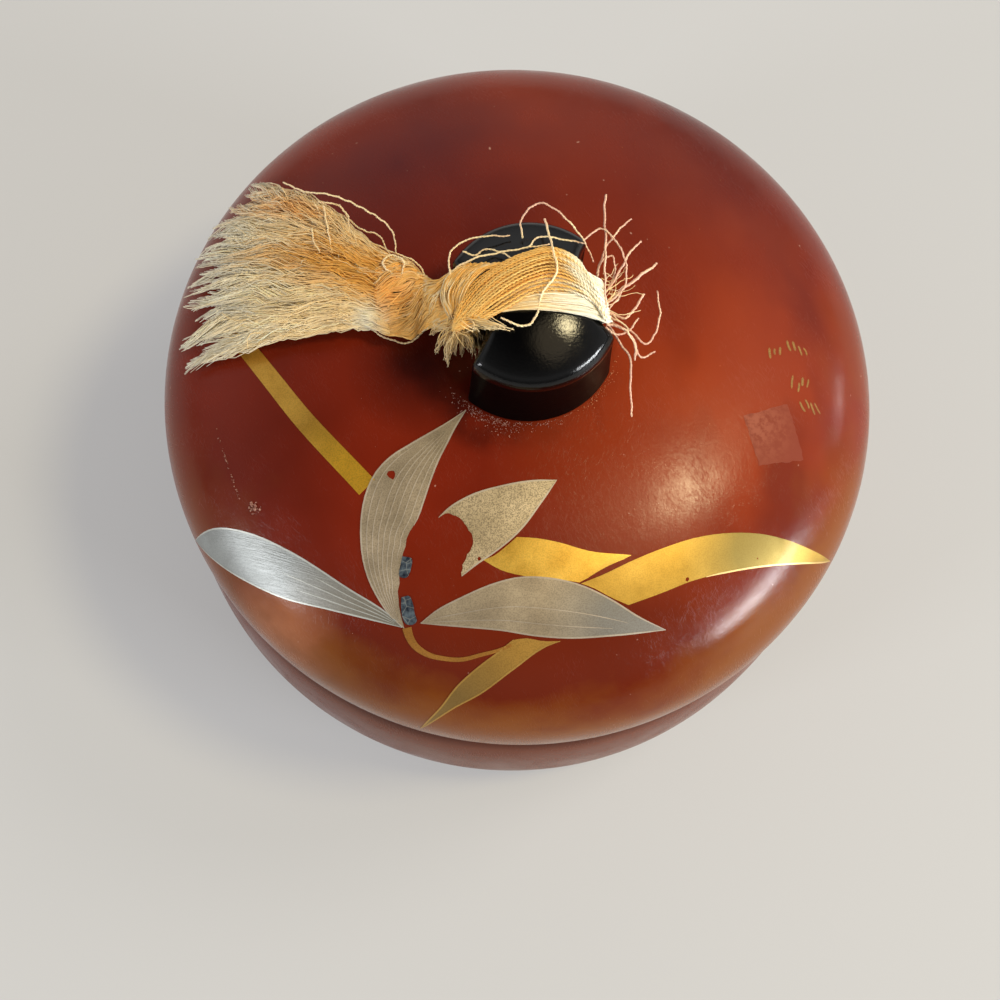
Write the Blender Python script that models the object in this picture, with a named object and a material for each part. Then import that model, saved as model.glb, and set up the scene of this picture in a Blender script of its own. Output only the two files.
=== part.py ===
"""Round lacquer trinket box: turned wooden base, domed lift-off lid, black knob and a silk tassel looped round it.

Metres, +Z up. The origin is the middle of the underside. X runs through the knob's two notches.
"""
import math

import bmesh
import bpy
from mathutils import Vector

# Lid, outside
LID_RADIUS = 0.0580
EQUATOR_Z = 0.0470
DOME_HEIGHT = 0.0252
DOME_PLAN_POWER = 2.3
DOME_RISE_POWER = 2.5
CURL_HEIGHT = 0.0226
SEAM_Z = 0.0410
LIP_ROUNDING = 0.0012
SEAT_RADIUS = 0.0138

# Lid, inside
LID_BORE_RADIUS = 0.0534
LID_BORE_TOP_Z = 0.0450
LID_BORE_POWER = 2.35
LID_TOP_WALL = 0.0030

# Base, outside
BASE_RADIUS = 0.0585
BASE_WIDEST_Z = 0.0180
BASE_RIM_RADIUS = 0.0552
BASE_UPPER_POWER = 2.2
BASE_LOWER_POWER = 2.6
FOOT_RADIUS = 0.0440
FOOT_HEIGHT = 0.0020
FOOT_WIDTH = 0.0050
FOOT_CHAMFER = 0.0006
FOOT_RECESS = 0.0015

# Base, inside
FLANGE_RADIUS = 0.0530
FLANGE_WALL = 0.0020
FLANGE_HEIGHT = 0.0033
FLANGE_DEPTH = 0.0040
BASE_WALL = 0.0036
BASE_INNER_BULGE = 0.0006
FLOOR_TOP_Z = 0.0048
FLOOR_RADIUS = 0.0400

# Knob
KNOB_RADIUS = 0.0130
KNOB_FLARE = 0.0006
KNOB_WAIST_FLARE = 0.0002
KNOB_WALL_HEIGHT = 0.0120
KNOB_EDGE_ROUNDING = 0.0014
KNOB_CROWN = 0.0032
CROWN_RINGS = (0.75, 0.4)
NOTCH_RADIUS = 0.0106
NOTCH_CENTRE = 0.0168
NOTCH_STEPS = 10
LOBE_STEPS = 18
TUNNEL_WIDTH = 0.0068
TUNNEL_HEIGHT = 0.0037
CUTTER_MARGIN = 0.0010

# Silk loop round the knob
BAND_WIDTH = 0.0096
BAND_THICKNESS = 0.0017
BAND_SHIFT = 0.0010
BAND_CLEARANCE = 0.0005
SIDE_WIDTH = 0.0072
SIDE_THICKNESS = 0.0026
SIDE_CLEARANCE = 0.0010
UNDER_WIDTH = 0.0060
UNDER_THICKNESS = 0.0024
UNDER_CLEARANCE = 0.0004
LOOP_SECTIONS = 24
LOOP_SIDES = 12

# Silk tassel, from the knob to the cut ends: plan point, width, thickness and lift above the lid
TAIL_SIDES = 16
TAIL_SWEEP = 0.16
TAIL_SECTIONS = (
    ((-0.0091, 0.0014), 0.0044, 0.0046, 0.0052),
    ((-0.0113, 0.0040), 0.0056, 0.0050, 0.0030),
    ((-0.0139, 0.0064), 0.0070, 0.0054, 0.0008),
    ((-0.0168, 0.0078), 0.0124, 0.0062, 0.0),
    ((-0.0198, 0.0090), 0.0136, 0.0064, 0.0),
    ((-0.0232, 0.0108), 0.0140, 0.0060, 0.0),
    ((-0.0272, 0.0130), 0.0176, 0.0058, 0.0),
    ((-0.0318, 0.0155), 0.0218, 0.0054, 0.0),
    ((-0.0362, 0.0179), 0.0260, 0.0048, 0.0),
    ((-0.0405, 0.0202), 0.0298, 0.0040, 0.0),
    ((-0.0440, 0.0221), 0.0310, 0.0030, 0.0),
    ((-0.0465, 0.0234), 0.0270, 0.0018, 0.0),
)

GAP = 0.0003
SEGMENTS = 72
DOME_STEPS = 10
SHARP_ANGLE = math.radians(35)


def clear_scene():
    for item in list(bpy.data.objects):
        bpy.data.objects.remove(item, do_unlink=True)


def material(name, colour, roughness, metallic=0.0):
    mat = bpy.data.materials.new(name)
    mat.use_nodes = True
    shader = mat.node_tree.nodes["Principled BSDF"]
    shader.inputs["Base Color"].default_value = (*colour, 1.0)
    shader.inputs["Roughness"].default_value = roughness
    shader.inputs["Metallic"].default_value = metallic
    return mat


def add_object(name, bm, mat):
    bmesh.ops.recalc_face_normals(bm, faces=bm.faces)
    mesh = bpy.data.meshes.new(name)
    bm.to_mesh(mesh)
    bm.free()
    mesh.shade_smooth()
    mesh.set_sharp_from_angle(angle=SHARP_ANGLE)
    obj = bpy.data.objects.new(name, mesh)
    bpy.context.scene.collection.objects.link(obj)
    obj.data.materials.append(mat)
    return obj


def quarter(start, end, power, count, start_flat):
    """Points of a quarter superellipse from start to end.

    start_flat: the curve leaves start running along the radius; otherwise it leaves start running along Z.
    """
    points = []
    for i in range(count + 1):
        angle = math.pi / 2 * i / count
        along = math.sin(angle) ** (2 / power)
        across = 1 - math.cos(angle) ** (2 / power)
        share_r, share_z = (along, across) if start_flat else (across, along)
        points.append((start[0] + (end[0] - start[0]) * share_r, start[1] + (end[1] - start[1]) * share_z))
    points[-1] = end
    return points


def without_repeats(points):
    kept = []
    for point in points:
        if not kept or math.dist(point, kept[-1]) > 1e-6:
            kept.append(point)
    return kept


def lathe(name, profile, mat):
    """Turns a profile that starts and ends on the Z axis into a closed solid."""
    bm = bmesh.new()
    verts = [bm.verts.new((r, 0, z)) for r, z in without_repeats(profile)]
    edges = [bm.edges.new(pair) for pair in zip(verts, verts[1:])]
    bmesh.ops.spin(bm, geom=verts + edges, cent=(0, 0, 0), axis=(0, 0, 1), angle=math.tau, steps=SEGMENTS)
    bmesh.ops.remove_doubles(bm, verts=bm.verts, dist=1e-6)
    return add_object(name, bm, mat)


def dome_z(radius):
    share = min(abs(radius) / LID_RADIUS, 1)
    return EQUATOR_Z + DOME_HEIGHT * (1 - share**DOME_PLAN_POWER) ** (1 / DOME_RISE_POWER)


SEAT_Z = dome_z(SEAT_RADIUS)


def curl_radius(z):
    return LID_RADIUS * math.sqrt(1 - ((EQUATOR_Z - z) / CURL_HEIGHT) ** 2)


def lid_profile():
    points = [(0, SEAT_Z), (SEAT_RADIUS, SEAT_Z)]
    for i in reversed(range(DOME_STEPS)):
        angle = math.pi / 2 * i / DOME_STEPS
        radius = LID_RADIUS * math.cos(angle) ** (2 / DOME_PLAN_POWER)
        if radius > SEAT_RADIUS:
            points.append((radius, dome_z(radius)))
    lip_top = SEAM_Z + LIP_ROUNDING
    curl_middle = (EQUATOR_Z + lip_top) / 2
    points.append((curl_radius(curl_middle), curl_middle))
    lip_outer = curl_radius(lip_top)
    points += quarter((lip_outer, lip_top), (lip_outer - LIP_ROUNDING, SEAM_Z), 2, 3, False)
    points.append((LID_BORE_RADIUS, SEAM_Z))
    inner_top = SEAT_Z - LID_TOP_WALL
    points += quarter((LID_BORE_RADIUS, LID_BORE_TOP_Z), (0, inner_top), LID_BORE_POWER, 9, False)
    return points


def base_profile():
    rim_z = SEAM_Z - GAP
    points = [(0, FOOT_RECESS), (FOOT_RADIUS - FOOT_WIDTH, FOOT_RECESS), (FOOT_RADIUS - FOOT_WIDTH, 0)]
    points.append((FOOT_RADIUS - FOOT_CHAMFER, 0))
    points += quarter((FOOT_RADIUS, FOOT_HEIGHT), (BASE_RADIUS, BASE_WIDEST_Z), BASE_LOWER_POWER, 7, True)
    points += reversed(
        quarter((BASE_RIM_RADIUS, rim_z), (BASE_RADIUS, BASE_WIDEST_Z), BASE_UPPER_POWER, 7, True)
    )
    flange_inner = FLANGE_RADIUS - FLANGE_WALL
    points += [(FLANGE_RADIUS, rim_z), (FLANGE_RADIUS, rim_z + FLANGE_HEIGHT)]
    points += [(flange_inner, rim_z + FLANGE_HEIGHT), (flange_inner, rim_z - FLANGE_DEPTH)]
    inner_widest = (BASE_RADIUS - BASE_WALL, BASE_WIDEST_Z)
    points.append(((flange_inner + inner_widest[0]) / 2 + BASE_INNER_BULGE, (rim_z + BASE_WIDEST_Z) / 2))
    points += quarter(inner_widest, (FLOOR_RADIUS, FLOOR_TOP_Z), BASE_LOWER_POWER, 5, False)
    points.append((0, FLOOR_TOP_Z))
    return points


def arc(centre_x, radius, start, end, count):
    """Points of an arc about a centre on the X axis, without its last point."""
    points = []
    for i in range(count):
        angle = start + (end - start) * i / count
        points.append((centre_x + radius * math.cos(angle), radius * math.sin(angle)))
    return points


def knob_outline(inset):
    """The knob seen from above, a circle with a round notch bitten out at +X and -X.

    A positive inset pulls the whole outline in, and a negative one pushes out the two lobes alone.
    """
    outer = KNOB_RADIUS - inset
    notch = NOTCH_RADIUS + max(inset, 0)
    corner_x = (outer**2 - notch**2 + NOTCH_CENTRE**2) / (2 * NOTCH_CENTRE)
    outer_angle = math.acos(corner_x / outer)
    notch_angle = math.acos((NOTCH_CENTRE - corner_x) / notch)
    bite = arc(NOTCH_CENTRE, notch, math.pi + notch_angle, math.pi - notch_angle, NOTCH_STEPS)
    lobe = arc(0, outer, outer_angle, math.pi - outer_angle, LOBE_STEPS)
    half = bite + lobe
    return half + [(-x, -y) for x, y in half]


def knob_top(x, y):
    """Height of the knob's crown above its underside: a shallow dome about the axis."""
    share = math.hypot(x, y) / (KNOB_RADIUS - KNOB_EDGE_ROUNDING)
    return KNOB_WALL_HEIGHT + KNOB_EDGE_ROUNDING + KNOB_CROWN * (1 - share**2)


def knob_rings():
    """Rings of points of the knob above its underside, from the flared foot to near the crown's middle."""
    rings = [[(x, y, 0.0) for x, y in knob_outline(-KNOB_FLARE)]]
    rings.append([(x, y, KNOB_WALL_HEIGHT / 2) for x, y in knob_outline(-KNOB_WAIST_FLARE)])
    shoulder = knob_outline(KNOB_EDGE_ROUNDING)
    for i in range(4):
        angle = math.pi / 2 * i / 3
        drop = KNOB_EDGE_ROUNDING * (1 - math.sin(angle))
        outline = knob_outline(KNOB_EDGE_ROUNDING * (1 - math.cos(angle)))
        rings.append([(x, y, knob_top(*top) - drop) for (x, y), top in zip(outline, shoulder)])
    for share in CROWN_RINGS:
        inner = [(x * share, y * share) for x, y in shoulder]
        rings.append([(x, y, knob_top(x, y)) for x, y in inner])
    return rings


def knob_solid(mat):
    bm = bmesh.new()
    bottom_z = SEAT_Z + GAP
    rings = [[bm.verts.new((x, y, bottom_z + height)) for x, y, height in ring] for ring in knob_rings()]
    for lower, upper in zip(rings, rings[1:]):
        for i, vert in enumerate(lower):
            j = (i + 1) % len(lower)
            bm.faces.new((vert, lower[j], upper[j], upper[i]))
    for ring, height in ((rings[0], 0.0), (rings[-1], knob_top(0, 0))):
        middle = bm.verts.new((0, 0, bottom_z + height))
        for i, vert in enumerate(ring):
            bm.faces.new((vert, ring[(i + 1) % len(ring)], middle))
    return add_object("knob", bm, mat)


def cutter(name, centre, size):
    bm = bmesh.new()
    bmesh.ops.create_cube(bm, size=1.0)
    bmesh.ops.scale(bm, vec=size, verts=bm.verts)
    bmesh.ops.translate(bm, vec=centre, verts=bm.verts)
    mesh = bpy.data.meshes.new(name)
    bm.to_mesh(mesh)
    bm.free()
    obj = bpy.data.objects.new(name, mesh)
    bpy.context.scene.collection.objects.link(obj)
    obj.hide_render = True
    obj.display_type = "WIRE"
    return obj


def apply_boolean(target, other, operation):
    modifier = target.modifiers.new(operation.lower(), "BOOLEAN")
    modifier.object = other
    modifier.operation = operation
    modifier.solver = "EXACT"


def make_knob(mat):
    """The knob, with a low tunnel from notch to notch that the silk runs through."""
    knob = knob_solid(mat)
    tunnel = cutter(
        "knob_tunnel_cutter",
        (0, 0, SEAT_Z + GAP + TUNNEL_HEIGHT / 2 - CUTTER_MARGIN),
        (4 * KNOB_RADIUS, TUNNEL_WIDTH, TUNNEL_HEIGHT + 2 * CUTTER_MARGIN),
    )
    apply_boolean(knob, tunnel, "DIFFERENCE")
    return knob


def bridge_loop():
    """Sections of the silk round the knob's waist: centre, outward direction, width and thickness."""
    side_x = NOTCH_CENTRE - NOTCH_RADIUS + SIDE_CLEARANCE + SIDE_THICKNESS / 2
    top_z = SEAT_Z + GAP + knob_top(0, 0) + BAND_CLEARANCE + BAND_THICKNESS / 2
    under_z = SEAT_Z + UNDER_CLEARANCE + UNDER_THICKNESS / 2
    sections = []
    for i in range(LOOP_SECTIONS):
        angle = math.tau * i / LOOP_SECTIONS
        cosine = math.cos(angle)
        sine = math.sin(angle)
        x = side_x * math.copysign(abs(cosine) ** 0.5, cosine)
        middle_z = (top_z + under_z) / 2
        z = middle_z + (top_z - under_z) / 2 * math.copysign(abs(sine) ** 0.5, sine)
        top_share = max(sine, 0) ** 2
        under_share = max(-sine, 0) ** 2
        side_share = 1 - top_share - under_share
        width = BAND_WIDTH * top_share + UNDER_WIDTH * under_share + SIDE_WIDTH * side_share
        thickness = BAND_THICKNESS * top_share + UNDER_THICKNESS * under_share + SIDE_THICKNESS * side_share
        outward = Vector((math.copysign(abs(cosine) ** 1.5, cosine), 0, math.copysign(abs(sine) ** 1.5, sine)))
        sections.append((Vector((x, BAND_SHIFT * top_share, z)), outward.normalized(), width, thickness))
    return sections


def make_silk_loop(mat):
    bm = bmesh.new()
    rings = []
    for centre, outward, width, thickness in bridge_loop():
        ring = []
        for i in range(LOOP_SIDES):
            angle = math.tau * i / LOOP_SIDES
            across = Vector((0, math.cos(angle) * width / 2, 0))
            ring.append(bm.verts.new(centre + across + outward * (math.sin(angle) * thickness / 2)))
        rings.append(ring)
    for lower, upper in zip(rings, rings[1:] + rings[:1]):
        for i, vert in enumerate(lower):
            j = (i + 1) % len(lower)
            bm.faces.new((vert, lower[j], upper[j], upper[i]))
    return add_object("tassel_loop_guide", bm, mat)


def make_silk_tassel(mat):
    """Neck, head and skirt of the tassel, lying on the lid, joined to the loop round the knob."""
    bm = bmesh.new()
    rings = []
    for index, (plan, width, thickness, lift) in enumerate(TAIL_SECTIONS):
        before = Vector(TAIL_SECTIONS[max(index - 1, 0)][0])
        after = Vector(TAIL_SECTIONS[min(index + 1, len(TAIL_SECTIONS) - 1)][0])
        along = (after - before).normalized()
        across = Vector((along.y, -along.x))
        ring = []
        for i in range(TAIL_SIDES):
            angle = math.tau * i / TAIL_SIDES
            side = math.cos(angle)
            point = Vector(plan) + across * (side * width / 2)
            point -= along * (side**2 * width * TAIL_SWEEP)
            height = thickness * (0.5 + 0.5 * math.sin(angle)) + lift
            ring.append(bm.verts.new((point.x, point.y, dome_z(point.length) + 2 * GAP + height)))
        rings.append(ring)
    for lower, upper in zip(rings, rings[1:]):
        for i, vert in enumerate(lower):
            j = (i + 1) % len(lower)
            bm.faces.new((vert, lower[j], upper[j], upper[i]))
    for ring in (rings[0], rings[-1]):
        bm.faces.new(ring)
    tassel = add_object("silk_tassel", bm, mat)
    loop = make_silk_loop(mat)
    loop.hide_render = True
    loop.display_type = "WIRE"
    apply_boolean(tassel, loop, "UNION")
    return tassel


def main():
    clear_scene()
    red_lacquer = material("red_brown_lacquer", (0.17, 0.028, 0.012), 0.18)
    black_lacquer = material("black_lacquer", (0.006, 0.006, 0.007), 0.12)
    silk = material("gold_silk", (0.62, 0.42, 0.19), 0.7)
    lathe("box_base", base_profile(), red_lacquer)
    lathe("box_lid", lid_profile(), red_lacquer)
    make_knob(black_lacquer)
    make_silk_tassel(silk)


main()
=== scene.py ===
"""Looks of the round lacquer trinket box: cloudy red-brown lacquer, a bamboo spray in metal foil, a black knob, silk.

Metres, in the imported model's frame: +Z up, the origin under the middle of the foot, X through the knob's notches.
Places on the lid's outside are given as unrolled coordinates: the distance from the axis is measured along the dome.
"""

import math
import random

import bmesh
import bpy
import numpy as np
from mathutils import Matrix, Vector
from mathutils.geometry import delaunay_2d_cdt


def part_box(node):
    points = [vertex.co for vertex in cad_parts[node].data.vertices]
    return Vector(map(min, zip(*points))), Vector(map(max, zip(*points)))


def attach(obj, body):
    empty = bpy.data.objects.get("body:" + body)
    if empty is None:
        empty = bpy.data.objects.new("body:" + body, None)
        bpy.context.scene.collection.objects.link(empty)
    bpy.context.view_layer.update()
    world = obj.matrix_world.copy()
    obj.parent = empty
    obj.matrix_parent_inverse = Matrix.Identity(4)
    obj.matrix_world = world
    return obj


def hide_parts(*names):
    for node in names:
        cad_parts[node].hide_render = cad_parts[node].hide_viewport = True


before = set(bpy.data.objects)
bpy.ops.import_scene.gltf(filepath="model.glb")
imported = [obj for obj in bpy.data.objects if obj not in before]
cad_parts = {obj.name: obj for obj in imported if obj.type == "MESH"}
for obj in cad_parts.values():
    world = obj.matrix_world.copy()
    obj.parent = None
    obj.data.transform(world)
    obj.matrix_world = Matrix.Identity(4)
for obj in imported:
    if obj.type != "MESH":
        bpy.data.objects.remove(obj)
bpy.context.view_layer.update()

MM = 0.001
base_low, base_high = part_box("box_base")
lid_low, lid_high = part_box("box_lid")
knob_low, knob_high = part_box("knob")

# Forms shared with the solids
LID_RADIUS = lid_high.x
SEAM_Z = lid_low.z
SEAT_Z = lid_high.z
EQUATOR_Z = 0.0470
DOME_HEIGHT = 0.0252
DOME_PLAN_POWER = 2.3
DOME_RISE_POWER = 2.5
CURL_HEIGHT = 0.0226
LIP_ROUNDING = 0.0012
SEAT_RADIUS = 0.0127
LID_BORE_RADIUS = 0.0534
LID_BORE_TOP_Z = 0.0450
LID_TOP_WALL = 0.0030
LID_BORE_POWER = 2.35
BASE_RADIUS = base_high.x
BASE_RIM_Z = SEAM_Z - 0.0003
BASE_WIDEST_Z = 0.0180
BASE_RIM_RADIUS = 0.0552
BASE_UPPER_POWER = 2.2
BASE_LOWER_POWER = 2.6
FOOT_RADIUS = 0.0440
FOOT_HEIGHT = 0.0020
FOOT_WIDTH = 0.0050
FOOT_RECESS = 0.0015
FLANGE_RADIUS = 0.0530
FLANGE_WALL = 0.0020
FLANGE_TOP_Z = base_high.z
BASE_WALL = 0.0036
FLOOR_TOP_Z = 0.0048
FLOOR_RADIUS = 0.0400
KNOB_FLARE = 0.0006
KNOB_RADIUS = knob_high.y - KNOB_FLARE
KNOB_BOTTOM_Z = knob_low.z
KNOB_WALL_HEIGHT = 0.0120
KNOB_EDGE_ROUNDING = 0.0014
KNOB_CROWN = 0.0032
KNOB_CORNER = 0.0028
KNOB_CORNER_TURN = math.radians(59.5)
NOTCH_RADIUS = 0.0106
RIGHT_NOTCH = (0.0179, 0.0012)
LEFT_NOTCH = (-0.0172, 0.0)
CORNER_WEAR = 3
KNOB_WALL_RINGS = 9
TUNNEL_WIDTH = 0.0068
TUNNEL_HEIGHT = 0.0037
TURNING_STEPS = 240
DOME_STEPS = 70
CURL_STEPS = 12
EDGE_BREAK = 0.0003

# Foil on the lid; the two grids are steps between inner points, and a line has no room for any
FOIL_LIFT = 0.00004
FOIL_DEPTH = 0.00008
LINE_LIFT = 0.00007
FOIL_GRID = 1.4
NO_GRID = 50
SEAL_LIFT = 0.00002
SHELL_LIFT = 0.00012
EDGE_POINTS = 32
RIM_WIDTH = 0.25
VEIN_WIDTH = 0.13

# Crumbs round the knob's foot, in heaps: azimuth, spread in degrees and how many
CRUMB_HEAPS = ((-128, 11, 210), (-108, 10, 110), (-84, 12, 50), (-52, 10, 50), (-34, 6, 30))

# Rows of worn strokes: the row's middle, how many, their slant and how long they are
STROKE_ROWS = (
    (38.4, -7.4, 3, 1.35, 1.0), (42.6, -6.8, 4, 1.75, 1.0), (41.8, -12.6, 4, 1.15, 1.3), (42.8, -16.4, 4, 1.95, 1.3),
)

# The tassel, in millimetres. A row: plan place of the near edge, plan place of the far edge, height of
# the middle above the lid, half its depth, and how far the middle runs past the line between the edges.
TAIL = (
    (-10.0, -2.4, -11.0, 3.2, 12.6, 1.9, 0.0),
    (-12.0, -1.0, -12.2, 5.4, 10.4, 2.4, 0.0),
    (-13.8, 1.0, -13.2, 8.6, 6.8, 2.7, 0.0),
    (-15.4, 1.8, -14.2, 11.0, 4.6, 3.1, 0.0),
    (-17.4, 1.2, -15.6, 13.6, 3.9, 3.5, 0.0),
    (-20.6, 2.6, -18.4, 15.4, 3.8, 3.4, 0.0),
    (-23.6, 4.6, -21.2, 18.4, 3.3, 2.9, 0.2),
    (-28.5, 5.6, -24.6, 23.8, 3.2, 2.8, 0.8),
    (-36.0, 6.3, -29.4, 29.4, 2.9, 2.5, 2.0),
    (-43.5, 6.9, -33.6, 33.4, 2.5, 2.2, 3.6),
    (-52.0, 6.9, -37.6, 37.4, 1.7, 1.5, 5.0),
)
TAIL_DIRECTION = (-0.91, 0.41)
SKIRT_START = 4.9
HEAD_END = 6.0
SKIRT_LENGTH = 36.0

# Layers of the skirt: fibres, locks, points along a fibre, seed, lowest and highest share of the tassel's depth
SKIRT_LAYERS = {
    "skirt_lower": (900, 26, 19, 11, -0.7, 0.45),
    "skirt_middle": (850, 34, 25, 12, 0.35, 0.85),
    "skirt_upper": (850, 40, 25, 13, 0.75, 1.0),
}

# Sides of a fibre's section, and the rows and the filled share of its map
FIBRE_SIDES = 3
MAP_ROWS = 4
MAP_FILL_ALONG = 0.98
MAP_FILL_ACROSS = 0.96

# Points along the other threads and fibres
HEAD_LOCKS = 30
HEAD_POINTS = 40
BAND_POINTS = 180
FLOSS_POINTS = 40
WING_POINTS = 26
FRINGE_POINTS = 22
STRAY_POINTS = 64
FLYAWAY_POINTS = 16
TAIL_CORE_GRID = (40, 28)
BAND_CORE_GRID = (60, 20)

# Plan places in millimetres that the band's nearest, middle and farthest threads pass, from the pinch on
BAND_FAN = (
    ((-11.1, -3.2), (-11.5, -2.8), (-11.6, -2.1)),
    ((-8.8, -3.3), (-9.6, -1.7), (-10.2, 0.9)),
    ((-6.2, -2.9), (-7.0, 0.0), (-8.0, 2.9)),
    ((-3.1, -2.1), (-3.9, 1.6), (-3.9, 4.7)),
    ((0.7, -1.0), (-0.4, 2.8), (-0.1, 5.7)),
    ((3.7, -1.3), (3.6, 3.3), (3.9, 6.2)),
    ((6.1, -2.0), (6.0, 2.0), (5.8, 5.3)),
    ((8.4, -3.5), (7.6, 0.3), (7.3, 3.9)),
    ((9.5, -5.6), (9.0, -1.6), (7.9, 1.9)),
)
FRINGE_ENDS = (
    (-14.4, -0.3, 80.6), (-13.9, -2.2, 78.8), (-13.1, -4.3, 77.6), (-11.8, -3.3, 78.4), (-10.4, -3.4, 78.6),
    (-9.3, -4.4, 78.6), (-7.8, -2.6, 81.0),
)
FORWARD_ENDS = ((-8.5, -4.0), (-6.3, -4.7), (-3.8, -5.5), (-5.4, -4.4))

# Loose threads: radius, then the places that it passes
STRAY_ROUTES = (
    (0.16, (-11.2, -0.9, 85.5), (-11.0, 4.0, 87.8), (-9.9, 8.6, 87.5), (-7.2, 9.8, 87.3), (-1.5, 9.5, 87.2)),
    (0.17, (-11.0, 1.5, 85.2), (-10.6, 5.0, 87.4), (-7.5, 6.2, 88.3), (-3.6, 6.4, 88.7), (3.6, 6.6, 88.6)),
    (0.13, (-8.6, 7.9, 87.6), (-6.8, 7.0, 87.9), (-5.4, 7.6, 87.9), (-3.5, 6.7, 88.3), (-2.2, 5.2, 89.2)),
    (0.20, (3.9, 11.2, 87.5), (3.8, 6.2, 89.6), (3.5, 1.4, 90.0), (0.9, -1.4, 89.8), (0.0, -3.6, 88.9)),
    (0.19, (0.0, -3.6, 88.9), (-1.3, -4.9, 88.6), (-2.9, -4.9, 88.5), (-5.2, -3.4, 88.9)),
    (0.15, (0.2, 8.6, 87.6), (0.4, 11.0, 88.2), (2.7, 13.0, 88.6), (8.6, 6.5, 88.4), (9.6, 3.6, 87.0)),
    (0.14, (0.4, 6.4, 88.9), (2.6, 8.2, 88.0), (6.0, 7.4, 87.6), (8.8, 6.4, 87.6)),
    (0.20, (13.5, 13.9, 86.8), (12.6, 10.5, 87.2), (12.0, 7.0, 87.6), (10.6, 1.0, 87.8), (10.0, -3.4, 86.4)),
    (0.15, (8.9, 7.0, 87.4), (11.3, 8.2, 87.8), (13.6, 5.1, 87.6), (13.4, -0.4, 87.0), (10.2, -3.8, 85.4)),
    (0.19, (10.0, -1.4, 85.2), (12.6, 1.2, 86.4), (15.4, 4.6, 86.8), (17.2, 6.0, 86.2)),
    (0.28, (10.2, -2.2, 84.6), (13.4, -0.6, 85.8), (19.1, 3.0, 84.6)),
    (0.22, (10.3, -3.0, 84.2), (13.0, -4.6, 84.6), (14.7, -3.1, 84.4), (16.4, -1.2, 84.2)),
    (0.17, (10.3, -3.4, 84.0), (12.6, -5.6, 84.2), (15.2, -8.6, 83.6), (18.0, -4.8, 83.2), (18.4, -0.8, 83.4)),
    (0.17, (10.2, -3.6, 83.6), (13.4, -7.4, 83.4), (14.2, -10.3, 82.8), (16.4, -9.6, 82.6)),
    (0.19, (10.0, -4.4, 84.4), (11.6, -7.8, 83.2), (12.8, -9.6, 81.6), (12.4, -13.0, 79.4), (11.9, -17.4, 78.2)),
    (0.24, (9.8, -5.4, 85.2), (11.6, -6.0, 85.0), (13.4, -8.0, 84.0), (13.2, -10.6, 82.8)),
    (0.14, (9.6, -6.0, 85.8), (10.8, -7.2, 85.2), (12.6, -6.8, 84.6), (14.6, -5.0, 84.6)),
    (0.13, (9.8, 1.6, 85.6), (10.8, 3.6, 86.6), (12.4, 4.4, 86.4), (12.6, 2.2, 85.4), (11.4, 0.4, 84.8)),
    (0.14, (9.9, 2.2, 86.0), (11.6, 5.2, 87.0), (14.6, 8.2, 87.2), (16.4, 9.6, 86.4)),
    (0.17, (-32.5, 33.2, 68.9), (-29.0, 29.3, 71.8), (-26.0, 27.7, 73.2), (-21.5, 24.3, 74.2), (-17.2, 18.5, 75.2),
     (-17.3, 15.0, 75.6)),
    (0.22, (-18.6, 10.6, 78.1), (-19.6, 12.9, 77.6), (-18.1, 14.3, 76.6), (-16.5, 12.5, 77.6), (-17.2, 10.2, 78.2)),
    (0.16, (-23.4, 5.0, 73.2), (-20.9, 2.9, 72.9), (-17.6, 1.5, 73.0), (-14.4, 3.4, 73.8)),
    (0.14, (-13.4, 8.6, 77.2), (-14.6, 12.8, 76.0), (-18.0, 15.6, 75.2), (-21.8, 18.8, 74.6)),
    (0.14, (-27.6, 27.2, 72.2), (-24.7, 25.6, 73.2), (-23.5, 23.3, 73.8), (-23.8, 20.1, 74.4)),
    (0.13, (-24.4, 26.1, 72.4), (-23.4, 23.2, 73.3), (-22.1, 20.7, 74.2), (-19.3, 18.6, 74.8), (-18.5, 15.9, 75.0)),
    (0.14, (-26.8, 25.6, 73.6), (-26.8, 21.5, 74.8), (-26.7, 16.8, 75.6)),
    (0.13, (-29.2, 21.8, 74.2), (-29.1, 19.3, 74.8), (-28.6, 17.3, 75.2)),
)

# Lacquer colours
LACQUER_DEEP = (0.098, 0.0085, 0.0030)
LACQUER_RED = (0.180, 0.0160, 0.0050)
LACQUER_ORANGE = (0.270, 0.0370, 0.0085)
LACQUER_AMBER = (0.185, 0.0520, 0.0065)
LACQUER_PLUM = (0.060, 0.0060, 0.0080)
LACQUER_BASE = (0.095, 0.0105, 0.0055)
LACQUER_BROWN = (0.088, 0.0108, 0.0016)
# Dark dirt, and painted shade: under the silk, round the knob's foot and under the lid's lip
LACQUER_DIRT_AND_SHADE = (0.020, 0.0025, 0.0020)
LACQUER_MAROON = (0.070, 0.0060, 0.0035)
# A painted highlight: window light on the lacquer below the left silver leaf
LACQUER_PAINTED_HIGHLIGHT = (0.42, 0.150, 0.065)
# A painted highlight: the pale line of the floor's reflection along the lid's lip
LACQUER_PAINTED_LIP_HIGHLIGHT = (0.80, 0.550, 0.470)
LACQUER_SPECK = (0.55, 0.34, 0.26)

# Silk colours, and the name under which each fibre keeps its own
TINT = "silk_colour"
SILK_ORANGE = (0.93, 0.47, 0.12)
SILK_HONEY = (0.92, 0.56, 0.17)
SILK_OCHRE = (0.89, 0.50, 0.125)
SILK_BAND = (0.91, 0.60, 0.20)
SILK_GOLD = (0.93, 0.50, 0.110)
SILK_STRAW = (0.95, 0.70, 0.35)
SILK_KHAKI = (0.96, 0.74, 0.42)
SILK_PALE = (0.98, 0.81, 0.51)
SILK_CREAM = (0.97, 0.79, 0.48)
SILK_WHITE = (0.98, 0.91, 0.72)
SILK_PINK = (0.80, 0.50, 0.37)
# The silk's colour darkened, painted shade deep inside the silk
SILK_CORE_SHADE = (0.50, 0.30, 0.10)

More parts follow.
